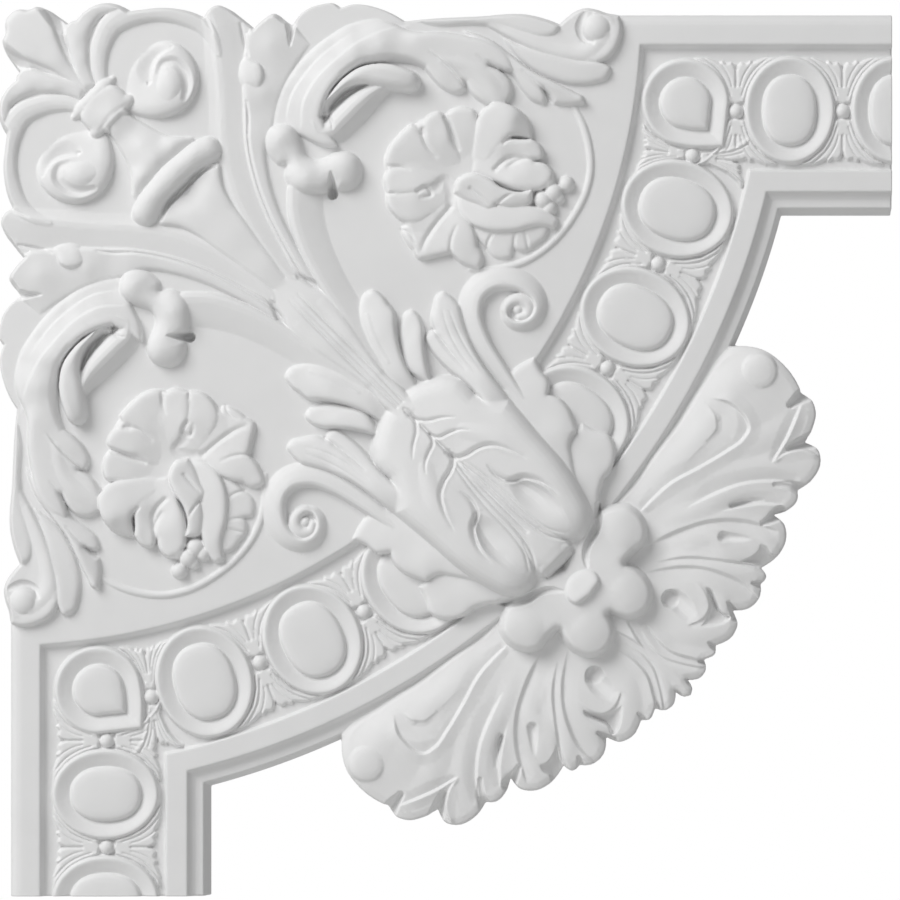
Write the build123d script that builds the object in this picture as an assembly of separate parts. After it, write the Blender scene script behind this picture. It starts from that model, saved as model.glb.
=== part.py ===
from build123d import *
import math
import os

# Corner moulding for a wall panel, cast in one piece.
# The drawing frame is (x, d): x runs along the top leg and d down the side leg.
# Both start at the outer corner.
# Relief heights stand on the back plane. All sizes are in millimetres.

# Overall
REACH = 508.0
LEAF_MARGIN = 2.5

# Leg section, from the outer edge inwards
ROLL = 7.4
ROLL_DROP = 2.6
OUTER_FLAT = 9.7
STEP = 3.4
RECESS = 68.5
INNER_FLAT = 12.5
COVE = 4.6
LIP = 4.0
WALL = 4.0
TRACK_DRAFT = 0.8

# Relief heights above the back plane
FIELD_TOP = 18.5
RECESS_FLOOR = 13.5
INNER_TOP = 17.5
LIP_TOP = 12.5

# Curved band that joins the legs, centred on the outer corner
BAND_RADIUS = 366.5

# Egg pattern
LEG_EGG_START = 448.6
LEG_EGG_PITCH = 61.0
LEG_EGG_HALF = (26.3, 31.1)
ARC_EGG_PITCH = 9.5
ARC_EGG_HALF = (28.0, 31.5)
EGG_RISE = 4.2
EGG_DISH = 2.6
EGG_RIM = 2.8
DOME_SHARE = 0.62
BEAD_RADIUS = 3.9
CORNER_EGG_CENTRE = (389.0, 53.0)
CORNER_EGG_HALF = 25.5
CORNER_EGG_TIP = (22.4, 26.0)
PEAR_SIDES = 15
PEAR_START = -14.0
PEAR_END = 282.0
OVAL_SIDES = 18
EGG_LEAN = 1.2
DOME_FOOT = 0.8
DOME_LEAN = 3.0
DOME_RISE = 0.4
PEAR_LEAN = 0.96
PEAR_INSIDE = 0.9
PEAR_FOOT = 0.03
PEAR_CAP = 0.12
BEAD_SHIFT = 1.5

# Hub at the root of the shell
HUB_TOP = 30.0
HUB_SHOULDER = 26.5
HUB_DRAWN_IN = 0.92

# Cut of the carved ribs, as shares of their own width and rise
CREST = 0.45
NOSE_REACH = 0.55
NOSE_WIDTH = 0.45
NOSE_RISE = 0.5
RIB_ROOT = 6.0
BALL_SIDES = 8

# Raised leaves and petals, which draw in towards their middle between the two levels
GROUND = FIELD_TOP - 0.7
SLAB_ROOT = 2.0
DRAWN_IN = 0.84
ARCH_TOP = 21.5
PETAL_SHOULDER = 21.5
PETAL_TOP = 23.2
LEAF_SHOULDER = 26.5
LEAF_TOP = 34.0

SHELL_EDGE = 12.0
SHELL_GROUND = SHELL_EDGE - 0.5
OVER = 40.0
CLEAR = 1.0
UP = (0, 0, 1)
FRAME_CORNER = LEAF_MARGIN + (ROLL + OUTER_FLAT + STEP + RECESS + INNER_FLAT + COVE + LIP + WALL) / 2

# Worked out from the sizes above
RECESS_OUT = LEAF_MARGIN + ROLL + OUTER_FLAT + STEP
RECESS_IN = RECESS_OUT + RECESS
WALL_TOP = RECESS_IN + INNER_FLAT + COVE + LIP
LEG_INNER = WALL_TOP + WALL
BAND_OUTER = BAND_RADIUS + LEG_INNER - RECESS_OUT
EGG_LINE = (RECESS_OUT + RECESS_IN) / 2
EGG_RADIUS = BAND_RADIUS + RECESS / 2


# Lobed edge of the field, one run of arcs for each lobe, from the corner to the top leg
FIELD_LOBES = (
    ((2.0, 2.0), (7.0, 0.4), (16.0, -0.6), (24.0, 3.0), (31.0, 9.3)),
    ((31.0, 9.3), (35.0, 6.0), (40.0, 5.0)),
    ((40.0, 5.0), (53.0, -1.6), (67.5, 2.0)),
    ((67.5, 2.0), (77.0, 0.0), (87.0, -0.5), (100.0, 1.2), (111.5, 5.2)),
    ((111.5, 5.2), (114.0, 0.8), (119.0, -1.3), (130.0, 4.6), (142.0, 13.5)),
    ((142.0, 13.5), (146.5, 7.5), (153.0, 1.9), (160.0, 5.2), (165.5, 9.0)),
    ((165.5, 9.0), (171.0, 2.5), (179.0, -1.9), (186.0, -2.9), (191.0, 0.3)),
    ((191.0, 0.3), (208.0, -2.0), (228.0, 5.8)),
    ((228.0, 5.8), (250.0, 3.0), (280.0, 1.8), (299.0, 2.0), (316.0, 7.2)),
    ((316.0, 7.2), (322.0, 2.5), (332.0, -1.8), (341.0, 0.0), (346.0, LEAF_MARGIN)),
)

# Lobed edge of the shell, from the inner wall of the band to the diagonal
SHELL_LOBES = (
    ((421.0, 193.5), (432.0, 194.0), (443.0, 200.0), (451.0, 209.0), (456.0, 218.5)),
    ((456.0, 218.5), (464.0, 231.0), (458.5, 247.0)),
    ((458.5, 247.0), (466.5, 259.0), (454.0, 275.0)),
    ((454.0, 275.0), (451.5, 283.5), (440.5, 289.0)),
    ((440.5, 289.0), (446.0, 306.0), (433.0, 319.5)),
    ((433.0, 319.5), (435.7, 325.0), (433.0, 329.0)),
    ((433.0, 329.0), (430.5, 341.5), (417.0, 344.0)),
    ((417.0, 344.0), (419.0, 355.0), (407.0, 364.0)),
    ((407.0, 364.0), (405.5, 369.0), (400.5, 372.0)),
    ((400.5, 372.0), (400.0, 380.0), (391.0, 384.0)),
    ((391.0, 384.0), (393.5, 389.5), (392.5, 392.5)),
)


def flat(x, d, z=0.0):
    """A point of the drawing frame as a vector, with d running down the sheet."""
    return Vector(x, -d, z)


def mirrored(shape):
    """The same form on the other side of the diagonal."""
    return mirror(shape, about=Plane(origin=(0, 0, 0), x_dir=(1, -1, 0), z_dir=(1, 1, 0)))


def both_sides(shapes):
    """Each form and its mirror image."""
    return shapes + [mirrored(shape) for shape in shapes]


def lobed_run(lobes):
    """Arcs through each lobe of an edge, every arc over three neighbouring points."""
    arcs = []
    for lobe in lobes:
        for index in range(0, len(lobe) - 1, 2):
            arcs.append(ThreePointArc(*[flat(*point) for point in lobe[index:index + 3]]).edge())
    return arcs


def swap(lobes):
    """The same lobes on the other side of the diagonal, run backwards."""
    return tuple(tuple((d, x) for x, d in reversed(lobe)) for lobe in reversed(lobes))


def closed_face(edges):
    """A face inside edges that meet end to end."""
    return Face(Wire(edges))


def corner_box(x0, d0, x1, d1, z0, z1):
    """A block between two corners of the drawing frame."""
    block = Box(x1 - x0, d1 - d0, z1 - z0)
    return Pos((x0 + x1) / 2, -(d0 + d1) / 2, (z0 + z1) / 2) * block


def tier(z0, z1, edge0, edge1, radius0, radius1):
    """A slab under both legs and the round band, its inner edge leaning from one inset to the other."""
    profile = Polyline(
        (-OVER, OVER, z0), (-OVER, -edge0, z0), (-OVER, -edge1, z1), (-OVER, OVER, z1), close=True
    )
    leg = extrude(Face(Wire(profile.edges())), REACH + 2 * OVER, dir=(1, 0, 0))
    cone = Pos(0, 0, (z0 + z1) / 2) * Cone(radius0, radius1, z1 - z0)
    cone &= corner_box(-OVER, -OVER, REACH + OVER, REACH + OVER, z0, z1)
    return leg + mirrored(leg) + cone


def silhouette():
    """Everything inside the leaf edge, the legs' outer edges and their ends."""
    top = lobed_run(FIELD_LOBES)
    side = lobed_run(swap(FIELD_LOBES))
    start = flat(*FIELD_LOBES[-1][-1])
    end = flat(LEAF_MARGIN, FIELD_LOBES[-1][-1][0])
    far = [
        Line(start, flat(REACH, LEAF_MARGIN)).edge(),
        Line(flat(REACH, LEAF_MARGIN), flat(REACH, REACH)).edge(),
        Line(flat(REACH, REACH), flat(LEAF_MARGIN, REACH)).edge(),
        Line(flat(LEAF_MARGIN, REACH), end).edge(),
    ]
    return closed_face(side + top + far)


def plate():
    """The cast body: drafted walls, stepped inner edge, sunk egg track and raised field."""
    lip_radius = BAND_OUTER - WALL
    body = tier(0, LIP_TOP, LEG_INNER, WALL_TOP, BAND_OUTER, lip_radius)
    body += tier(LIP_TOP, INNER_TOP, WALL_TOP - LIP, RECESS_IN + INNER_FLAT, lip_radius - LIP,
        lip_radius - LIP - COVE)
    track = BAND_RADIUS + RECESS
    body -= tier(RECESS_FLOOR, FIELD_TOP, RECESS_IN, RECESS_IN + TRACK_DRAFT, track, track + TRACK_DRAFT)
    body += tier(RECESS_FLOOR, FIELD_TOP, RECESS_OUT, RECESS_OUT - STEP, BAND_RADIUS, BAND_RADIUS - STEP)
    body &= extrude(silhouette(), FIELD_TOP * 2, dir=UP)
    return body


def outer_roll():
    """The wedge taken off the top leg's outer edge."""
    low = FIELD_TOP - ROLL_DROP
    start = FIELD_LOBES[-1][-1][0]
    profile = Polyline(
        (start, -LEAF_MARGIN - ROLL, FIELD_TOP),
        (start, 0, FIELD_TOP + CLEAR),
        (start, 0, low),
        (start, -LEAF_MARGIN, low),
        close=True,
    )
    return extrude(Face(Wire(profile.edges())), REACH, dir=(1, 0, 0))


def oval(half, z):
    """An oval outline at a height, cut in short facets."""
    turns = [2 * math.pi * index / OVAL_SIDES for index in range(OVAL_SIDES)]
    corners = [(half[0] * math.cos(turn), half[1] * math.sin(turn)) for turn in turns]
    return Pos(0, 0, z) * Polygon(*corners, align=None)


def tapered(low, low_z, high, high_z):
    """A straight-sided body between two ovals."""
    return loft([oval(low, low_z), oval(high, high_z)], ruled=True)


def egg(half):
    """One egg: a raised ring, its dish and the dome in the middle, centred on the sheet's origin."""
    top = RECESS_FLOOR + EGG_RISE
    dish = top - EGG_DISH
    crest = (half[0] - EGG_LEAN, half[1] - EGG_LEAN)
    inside = (half[0] - EGG_RIM, half[1] - EGG_RIM)
    dome = (half[0] * DOME_SHARE, half[1] * DOME_SHARE)
    foot = (dome[0] + DOME_FOOT, dome[1] + DOME_FOOT)
    cap = (dome[0] - DOME_LEAN, dome[1] - DOME_LEAN)
    ring = tapered(half, RECESS_FLOOR - CLEAR, crest, top)
    ring -= tapered(foot, dish, inside, top + 0.01)
    return ring + tapered(dome, dish - CLEAR, cap, top + DOME_RISE)


def pear(size, z):
    """The outline of the corner egg at a share of its full size: round, with one drawn-out point."""
    corners = [(CORNER_EGG_TIP[0] * size, -CORNER_EGG_TIP[1] * size)]
    for index in range(PEAR_SIDES):
        turn = math.radians(PEAR_START + (PEAR_END - PEAR_START) * index / (PEAR_SIDES - 1))
        corners.append((CORNER_EGG_HALF * size * math.cos(turn), CORNER_EGG_HALF * size * math.sin(turn)))
    return Pos(0, 0, z) * Polygon(*corners, align=None)


def corner_egg():
    """The pear-shaped egg where the top leg meets the band."""
    top = RECESS_FLOOR + EGG_RISE
    dish = top - EGG_DISH
    body = loft([pear(1, RECESS_FLOOR - CLEAR), pear(PEAR_LEAN, top)], ruled=True)
    body -= loft([pear(DOME_SHARE + PEAR_FOOT, dish), pear(PEAR_INSIDE, top + 0.01)], ruled=True)
    body += loft([pear(DOME_SHARE, dish - CLEAR), pear(DOME_SHARE - PEAR_CAP, top + DOME_RISE)],
        ruled=True)
    return Pos(*flat(*CORNER_EGG_CENTRE)) * body


def egg_row():
    """The eggs and beads of the top leg and of its half of the band."""
    parts = []
    for index in range(2):
        parts.append(Pos(*flat(LEG_EGG_START + index * LEG_EGG_PITCH, EGG_LINE)) * egg(LEG_EGG_HALF))
    for index in range(1, 4):
        angle = 45 - index * ARC_EGG_PITCH
        place = Rot(0, 0, -angle) * Pos(EGG_RADIUS, 0, 0)
        parts.append(place * egg((ARC_EGG_HALF[1], ARC_EGG_HALF[0])))
    middle = LEG_EGG_START + BEAD_SHIFT
    beads = [(middle - LEG_EGG_PITCH / 2, EGG_LINE), (middle + LEG_EGG_PITCH / 2, EGG_LINE),
        (393.1, 83.3)]
    for index in (2, 3):
        angle = math.radians(45 - (index - 0.5) * ARC_EGG_PITCH)
        beads.append((EGG_RADIUS * math.cos(angle), EGG_RADIUS * math.sin(angle)))
    for x, d in beads:
        parts.append(ball(x, d, BEAD_RADIUS, RECESS_FLOOR + BEAD_RADIUS))
    parts.append(corner_egg())
    return parts


def rib(points, ground=GROUND):
    """A carved rib along hand-placed stations of (x, d, half width, top height), closed at both ends."""
    stations = []
    last = len(points) - 1
    for index, (x, d, half, top) in enumerate(points):
        ahead = points[min(index + 1, last)]
        behind = points[max(index - 1, 0)]
        along = Vector(ahead[0] - behind[0], behind[1] - ahead[1], 0).normalized()
        stations.append((flat(x, d, ground), along, half, top - ground))
    first, final = stations[0], stations[-1]
    nose = (first[0] - first[1] * first[2] * NOSE_REACH, first[1], first[2] * NOSE_WIDTH,
        first[3] * NOSE_RISE)
    tail = (final[0] + final[1] * final[2] * NOSE_REACH, final[1], final[2] * NOSE_WIDTH,
        final[3] * NOSE_RISE)
    sections = []
    for place, along, half, rise in [nose] + stations + [tail]:
        frame = Plane(origin=place, x_dir=Vector(0, 0, 1).cross(along), z_dir=along)
        corners = [(-half, -RIB_ROOT), (half, -RIB_ROOT), (half, 0)]
        corners += [(half * CREST, rise), (-half * CREST, rise), (-half, 0)]
        sections.append(frame * Polygon(*corners, align=None))
    return loft(sections, ruled=True)


def slab(corners, shoulder, top, drawn_in=DRAWN_IN):
    """A raised form with the given outline: upright to its shoulder, then drawn in to a flat top."""
    middle_x = sum(x for x, d in corners) / len(corners)
    middle_d = sum(d for x, d in corners) / len(corners)
    sections = []
    for level, share in ((GROUND - SLAB_ROOT, 1), (shoulder, 1), (top, drawn_in)):
        ring = [(middle_x + (x - middle_x) * share, middle_d + (d - middle_d) * share) for x,
            d in corners]
        sections.append(Pos(0, 0, level) * Polygon(*[(x, -d) for x, d in ring], align=None))
    return loft(sections, ruled=True)


def across(corners):
    """An outline that starts and ends on the diagonal, closed by its own mirror image."""
    return corners + tuple((d, x) for x, d in reversed(corners) if x != d)


def ball(x, d, radius, top):
    """A cut ball that stands out of the ground to the given height."""
    levels = ((-0.6, 0.8), (0.0, 1.0), (0.6, 0.8), (0.93, 0.36))
    middle = top - radius
    rings = [
        Pos(*flat(x, d, middle + radius * rise)) * RegularPolygon(radius * reach, BALL_SIDES)
        for rise, reach in levels
    ]
    return loft(rings, ruled=True)


def corner_field():
    """Corner leaf, volute, vine band, bell and stems."""
    half = [
        rib(((55, 43, 4, 21), (51, 24, 5, 22), (58, 8, 5.5, 22), (76, 4, 4.5, 21.5), (96, 4.5, 4.5, 21.5),
             (114, 16, 5, 21.5), (126, 40, 6, 21.5), (130, 70, 7, 22), (136, 104, 7, 22),
                 (152, 134, 6, 22))),
        rib(((72, 57, 3, 21), (90, 58, 4, 23), (103, 49, 4.5, 24), (105, 34, 4.5, 24),
            (96, 22, 4, 23), (84, 27, 3, 20.5))),
        rib(((122, 10, 6.5, 22), (128, 30, 6, 22), (131, 50, 5, 21.5))),
        rib(((153, 12, 6.5, 22), (147, 38, 6, 22), (145, 64, 5, 22), (148, 90, 4.6, 22),
            (158, 118, 4.4, 22.5), (174, 148, 4, 23))),
        rib(((181, 7, 8, 22), (166, 24, 7, 22.5), (155, 48, 5, 22), (151, 66, 3, 21))),
        rib(((175, 106, 8, 24), (175, 122, 8, 24), (180, 140, 7.5, 24), (192, 160, 6.5, 24),
            (206, 186, 5, 24))),
        ball(94, 44, 10, 25.5),
        ball(157, 77, 10.5, 26),
        ball(172, 94, 13.5, 27),
        ball(194, 93, 11.5, 26),
        rib(((48, 36, 4, 22), (40, 22, 5.5, 21.5), (38, 13, 4, 20.5))),
    ]
    middle = [
        rib(((46, 46, 8, 23), (30, 30, 13, 22.5), (15, 15, 12, 21.5))),
        rib(((60, 60, 6, 22), (76, 76, 9, 23), (93, 93, 19, 24))),
        rib(((121, 79, 6, 26), (109, 87, 6.5, 27), (97, 97, 6.5, 27), (87, 109, 6.5, 27),
            (79, 121, 6, 26))),
        rib(((108, 108, 18, 23), (124, 124, 12, 24), (145, 145, 8, 23.5), (165, 165, 9, 23))),
        rib(((65, 48, 5, 26), (56.5, 56.5, 5.5, 27), (48, 65, 5, 26))),
    ]
    return both_sides(half) + middle


def arch():
    """The low body of the big leaf, under its ribs."""
    outer = ((155, 67), (157, 45), (165, 33), (175, 22.5), (185, 15), (195, 9.5), (204, 7),
        (222, 9.5), (250, 14))
    tips = ((280, 21), (290, 33), (279, 33.5), (289, 43), (286, 54), (270, 50), (263, 43), (258, 48),
        (244, 40))
    inner = ((236, 33), (222, 30.5), (204, 32.5), (188, 45), (181, 62), (188, 77), (176, 75.5))
    outline = Polygon(*[(x, -d) for x, d in outer + tips + inner], align=None)
    return extrude(Pos(0, 0, GROUND - SLAB_ROOT) * outline, ARCH_TOP - GROUND + SLAB_ROOT)


def scroll_leaf():
    """The big leaf that hooks over the rosette, and the rolled strip beside it."""
    half = [
        rib(((183, 70, 7, 24), (176, 58, 7, 26), (184, 40, 9, 27), (202, 24, 11, 27),
            (226, 18, 9, 26), (256, 21, 9, 26), (279, 31, 8, 25))),
        rib(((187, 60, 3, 25), (196, 45, 5.5, 28), (212, 38, 7.5, 29), (229, 39, 6.5, 28))),
        rib(((189, 71, 6, 23), (199, 62, 6, 24), (210, 49, 4, 24))),
        rib(((236, 27, 6, 25), (250, 36, 6, 24), (256, 44, 4.5, 22))),
        rib(((258, 30, 7, 25), (274, 40, 8, 25), (282, 48, 6, 23))),
        arch(),
        rib(((234, 8, 3, 22), (264, 8, 4, 22.5), (292, 9, 6, 23), (308, 11, 5, 22))),
        rib(((262, 14, 5, 23), (284, 22, 7, 24), (306, 37, 8, 24), (322, 49, 6, 23))),
        rib(((296, 18, 5, 22), (314, 29, 7, 23), (332, 36, 6.5, 23))),
        rib(((318, 28, 5, 22), (338, 24, 7, 23), (344, 12, 6, 24), (334, 5, 5.5, 23), (325, 10, 5, 22))),
        ball(337, 12, 8, 25),
    ]
    return both_sides(half)


def rosette():
    """Open petals, the folded petal and the berries."""
    petals = (
        ((262, 82, 5, 23), (262, 70, 7.5, 23.5), (262, 62, 5, 21)),
        ((274, 118, 5, 22), (281, 131, 7, 23), (284, 137, 5, 21)),
        ((284, 116, 5, 22), (297, 127, 7, 23), (303, 130, 5, 21)),
    )
    folds = (
        ((266, 86, 6, 24), (277, 68, 8, 27), (290, 66, 9, 29), (294, 82, 8, 27), (302, 93, 7, 25)),
        ((266, 103, 8, 25), (281, 107, 7, 27), (297, 107, 5, 26)),
        ((270, 120, 5, 24), (290, 121, 6, 25), (307, 122, 4, 23)),
    )
    cups = (
        ((255, 93), (218.5, 93), (217, 86), (225, 72), (232, 65.5), (238.5, 71), (243, 60.5),
            (251, 60.5), (256, 76), (261, 88)),
        ((256, 92.5), (219, 91), (216.5, 98), (218.5, 105.5), (237, 105.5), (257, 98)),
        ((257, 97), (218, 105.5), (219, 114), (232, 122.5), (240, 121), (258, 108)),
        ((256, 109), (268, 125), (273, 141), (269, 147), (255, 140), (237, 142), (232, 134),
            (226.5, 125)),
    )
    vine = ((325, 54, 1.8, 19.8), (333.5, 80, 1.8, 19.8), (331, 106, 1.8, 19.8),
        (312, 133, 1.8, 19.8), (285, 147.5, 1.8, 19.8))
    half = [rib(petal) for petal in petals + folds]
    half += [slab(cup, PETAL_SHOULDER, PETAL_TOP) for cup in cups]
    half.append(rib(vine))
    half += [ball(305, 109, 5, 24), ball(313, 104, 5, 24.5), ball(321, 100, 4.5, 23.5)]
    return both_sides(half)


def folded_leaf():
    """The leaf on the diagonal: its lower leaf, the folded upper leaf, side lobes and side volutes."""
    half = [
        slab(((226, 218), (213, 205), (205, 192), (201.5, 180), (203, 168), (209.5, 160), (219, 168),
            (225, 190), (236, 216)), 22, 25),
        slab(((243, 214), (230, 206), (225, 190), (227, 177), (231, 171), (239, 181),
            (240.5, 200)), 22, 24.5),
        slab(((246, 216), (240, 206), (243, 182), (249, 161), (259, 166.5), (265, 187),
            (279, 211)), 22.5, 26),
        slab(((303, 198), (311, 213), (311, 220), (322, 228), (327, 241), (325, 258), (328, 272),
            (300, 240), (286, 215), (291, 206)), 22, 26),
        slab(((330, 236), (345, 243), (349, 252), (342.5, 268), (339, 300), (332, 318), (322, 300),
            (320, 262)), 22.5, 25.5),
        rib(((240, 226, 8, 27), (258, 224, 13, 32), (282, 242, 18, 37), (303, 268, 17, 39),
            (317, 290, 9, 37))),
        rib(((306, 240, 3, 23), (288, 216, 4.5, 24), (272, 192, 5.5, 24), (269, 172, 6, 24.5),
            (277, 157, 6, 24.5),
             (291, 152, 6, 24.5), (303, 159, 5.5, 24), (304, 172, 5, 23.5), (297, 180, 4, 22.5))),
        ball(296, 168, 6.5, 23),
    ]
    edge = ((224.5, 224.5), (231.5, 214.6), (253, 208.4), (273, 206), (291, 225), (305, 242.4),
        (320, 260), (332, 280))
    tip = ((334.6, 296), (326, 305), (318.5, 318.5))
    middle = [
        slab(across(edge + tip), LEAF_SHOULDER, LEAF_TOP),
        rib(((166, 166, 12, 22), (186, 186, 20, 23.5), (208, 208, 18, 25), (230, 230, 13, 27))),
        rib(((296, 296, 10, 36), (308, 308, 12, 36), (318, 318, 8, 33))),
    ]
    return both_sides(half) + middle


def shell():
    """Fan of lobes beyond the hub, on its own thin edge."""
    run = lobed_run(SHELL_LOBES)
    back = lobed_run(swap(SHELL_LOBES))
    first, last = flat(*SHELL_LOBES[0][0]), flat(SHELL_LOBES[0][0][1], SHELL_LOBES[0][0][0])
    root = flat(300, 300)
    face = closed_face(run + back + [Line(last, root).edge(), Line(root, first).edge()])
    lobes = (
        ((384, 252, 9, 20), (402, 224, 13, 21), (420, 208, 13, 21), (432, 208, 13, 20)),
        ((368, 282, 6, 22), (390, 262, 9, 24), (408, 244, 11, 25), (414, 236, 8, 24)),
        ((412, 258, 8, 19), (434, 244, 9, 20), (453, 231, 6, 19)),
        ((402, 272, 7, 19), (430, 262, 9, 21), (455, 258, 7, 20)),
        ((384, 288, 7, 21), (414, 279, 7, 22), (443, 276, 6, 20)),
        ((376, 302, 8, 22), (408, 300, 9, 24), (436, 304, 7, 22)),
        ((376, 318, 8, 22), (404, 319, 7, 23), (428, 324, 5, 20)),
        ((376, 332, 8, 22), (402, 334, 8, 22), (423, 338, 6, 20)),
        ((374, 344, 8, 22), (394, 352, 9, 24), (412, 353, 6, 22)),
        ((366, 352, 7, 21), (384, 366, 7, 21), (399, 369, 4, 19)),
        ((360, 357, 6, 21), (378, 374, 6, 21), (394, 379, 4, 19)),
    )
    half = [rib(lobe, SHELL_GROUND) for lobe in lobes]
    half.append(ball(431, 207, 10, 24))
    last_lobe = rib(((350, 350, 7, 21), (372, 372, 8, 21), (385, 385, 7, 19)), SHELL_GROUND)
    return both_sides(half) + [extrude(face, SHELL_EDGE, dir=UP), last_lobe]


def hub():
    """Cloud-shaped hub with rounded lobes, and the tab that rests on it."""
    upper = ((318, 318), (326, 300), (332, 291), (340, 285.5), (348, 282.6), (356, 282.4), (363, 287),
        (367.4, 294), (367.6, 301))
    lower = ((364, 308), (357.5, 315.5), (363, 319.5), (368.5, 325.5), (371, 333), (369, 342),
        (364, 347), (357, 349.4), (346, 346))
    return [
        slab(across(upper + lower), HUB_SHOULDER, HUB_TOP, HUB_DRAWN_IN),
        rib(((333, 326, 6, 33), (326, 333, 6, 33)), HUB_TOP - CLEAR),
    ]


def casting():
    """The whole moulding as one solid in the drawing frame."""
    ornament = egg_row()
    ornament = ornament + [mirrored(shape) for shape in ornament]
    ornament += corner_field() + scroll_leaf() + rosette() + folded_leaf() + shell() + hub()
    base = plate()
    roll = outer_roll()
    base = base - roll - mirrored(roll)
    body = base.fuse(*[solid for shape in ornament for solid in shape.solids()])
    return body & corner_box(-OVER, -OVER, REACH, REACH, 0, REACH)


def main():
    """Write the one casting, stood up against its wall."""
    body = casting()
    body = Rot(90, 0, 0) * Pos(-FRAME_CORNER, FRAME_CORNER, 0) * body
    os.makedirs("parts", exist_ok=True)
    export_step(body.solid(), "parts/corner_moulding.step")


if __name__ == "__main__":
    main()
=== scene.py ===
"""Looks of a primed corner panel moulding, carved as one relief and photographed straight on.

The drawing frame is (x, d) in millimetres from the outer corner: x runs along the top leg and d down the
side leg.
Relief heights stand on the back plane. The carving is laid on a fine height field for one half, mirrored
over the
diagonal, thinned to triangles that follow the form, and cut off at the back plane.
"""

from __future__ import annotations

import logging
import math
from collections.abc import Sequence
from dataclasses import dataclass
from enum import Enum

import bpy
import numpy as np
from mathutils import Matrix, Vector

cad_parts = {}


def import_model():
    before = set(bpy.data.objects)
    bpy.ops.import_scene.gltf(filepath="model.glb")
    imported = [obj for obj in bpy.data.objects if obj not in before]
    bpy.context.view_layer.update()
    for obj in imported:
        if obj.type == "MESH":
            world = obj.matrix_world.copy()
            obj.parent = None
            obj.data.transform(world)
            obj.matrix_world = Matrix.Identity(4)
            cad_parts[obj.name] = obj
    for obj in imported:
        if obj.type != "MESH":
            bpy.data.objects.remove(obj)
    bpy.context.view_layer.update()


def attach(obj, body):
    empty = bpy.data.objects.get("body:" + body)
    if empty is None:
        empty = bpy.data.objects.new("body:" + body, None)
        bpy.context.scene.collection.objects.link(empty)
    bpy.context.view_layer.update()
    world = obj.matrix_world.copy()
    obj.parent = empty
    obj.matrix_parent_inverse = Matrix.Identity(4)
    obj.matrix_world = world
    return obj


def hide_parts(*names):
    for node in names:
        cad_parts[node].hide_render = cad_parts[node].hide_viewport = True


MM = 0.001
NODE = "corner_moulding"

# Millimetres: how far in the frame's origin lies, the ground below the back plane, the sheet's start and
# length, and the radius that the tool leaves on every edge.
FRAME_CORNER = 59.55
BELOW = -8.0
SHEET_START = -6.0
SHEET_SPAN = 516.0
TOOL_RADIUS = 0.3
SHEET_CELLS = 2048

Rows = np.ndarray | Sequence[Sequence[float]]
Window = tuple[slice, slice]
Measured = tuple[Window, np.ndarray, np.ndarray, np.ndarray]
Surface = tuple[np.ndarray, np.ndarray, np.ndarray, list[list[int]]]

LOG = logging.getLogger("moulding")


# Carving tools


class Lay(Enum):
    """How a cut meets the surface that is already there."""

    RAISE = "raise"
    ADD = "add"
    SET = "set"
    SINK = "sink"


class Cut(Enum):
    """Cross-sections of a cut: pairs of place across, from -1 to 1, and share of the height."""

    ROUND = tuple((math.sin(t), math.cos(t)) for t in np.linspace(-math.pi / 2, math.pi / 2, 33))
    SOFT = tuple((u, (1 - u * u) ** 1.5) for u in np.linspace(-1, 1, 33))
    GROOVE = tuple((u, (1 - abs(u)) ** 1.6) for u in np.linspace(-1, 1, 33))


def curve(points: Rows, spacing: float = 1.4) -> np.ndarray:
    """Runs a smooth line through stations.

    Args:
        points: rows of x, d and any other values that change along the line.
        spacing: distance between the points that come back, in mm.

    Returns:
        Rows of the same columns, close together.
    """
    p = np.asarray(points, float)
    if len(p) == 1:
        return np.vstack([p, p + 0.01])
    span = np.maximum(np.hypot(*np.diff(p[:, :2], axis=0).T), 1e-6)
    slope = np.diff(p, axis=0) / span[:, None]
    tangent = np.vstack([slope[:1], slope[-1:]])
    if len(p) > 2:
        inner = (slope[:-1] * span[1:, None] + slope[1:] * span[:-1, None]) / (span[:-1] + span[1:])[:, None]
        tangent = np.vstack([slope[:1] * 1.5 - inner[:1] * 0.5, inner, slope[-1:] * 1.5 - inner[-1:] * 0.5])
    rows = []
    for i, length in enumerate(span):
        t = np.linspace(0, 1, max(2, int(math.ceil(length / spacing)) + 1))[:-1, None]
        h = [(1 + 2 * t) * (1 - t) ** 2, t * (1 - t) ** 2, t * t * (3 - 2 * t), t * t * (t - 1)]
        leaving = h[0] * p[i] + h[1] * length * tangent[i]
        rows.append(leaving + h[2] * p[i + 1] + h[3] * length * tangent[i + 1])
    rows.append(p[-1:])
    return np.vstack(rows)


def outline(first: Rows, *runs: Rows) -> np.ndarray:
    """Joins smooth runs, with a sharp corner between each two.

    Args:
        first: the first run, in rows of x and d.
        runs: the others. Each goes on from the end of the one before it, so that point isn't written again.

    Returns:
        Rows of x and d, close together.
    """
    parts, end = [curve(first)], first[-1]
    for run in runs:
        parts.append(curve([end, *run]))
        end = run[-1]
    return np.vstack(parts)


def over_diagonal(half: np.ndarray) -> np.ndarray:
    """Closes half an outline with its own mirror image."""
    return np.vstack([half, half[::-1, ::-1]])


def both_sides(skin: Rows) -> tuple:
    """Heights of a surface, and their mirror images over the diagonal."""
    return tuple(skin) + tuple((d, x, h) for x, d, h in skin)


def fading(points: Rows, half: float, amount: float, start: float, end: float) -> list[tuple]:
    """Makes stations of one half width along a run.

    Args:
        points: the run, in rows of x and d.
        half: half width of the stroke.
        amount: height that the stroke adds.
        start: share of the height at the first point.
        end: share of the height at the last point.

    Returns:
        Stations for Relief.add.
    """
    shares = {0: start, len(points) - 1: end}
    return [(*p, half, amount * shares.get(i, 1)) for i, p in enumerate(points)]


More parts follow.
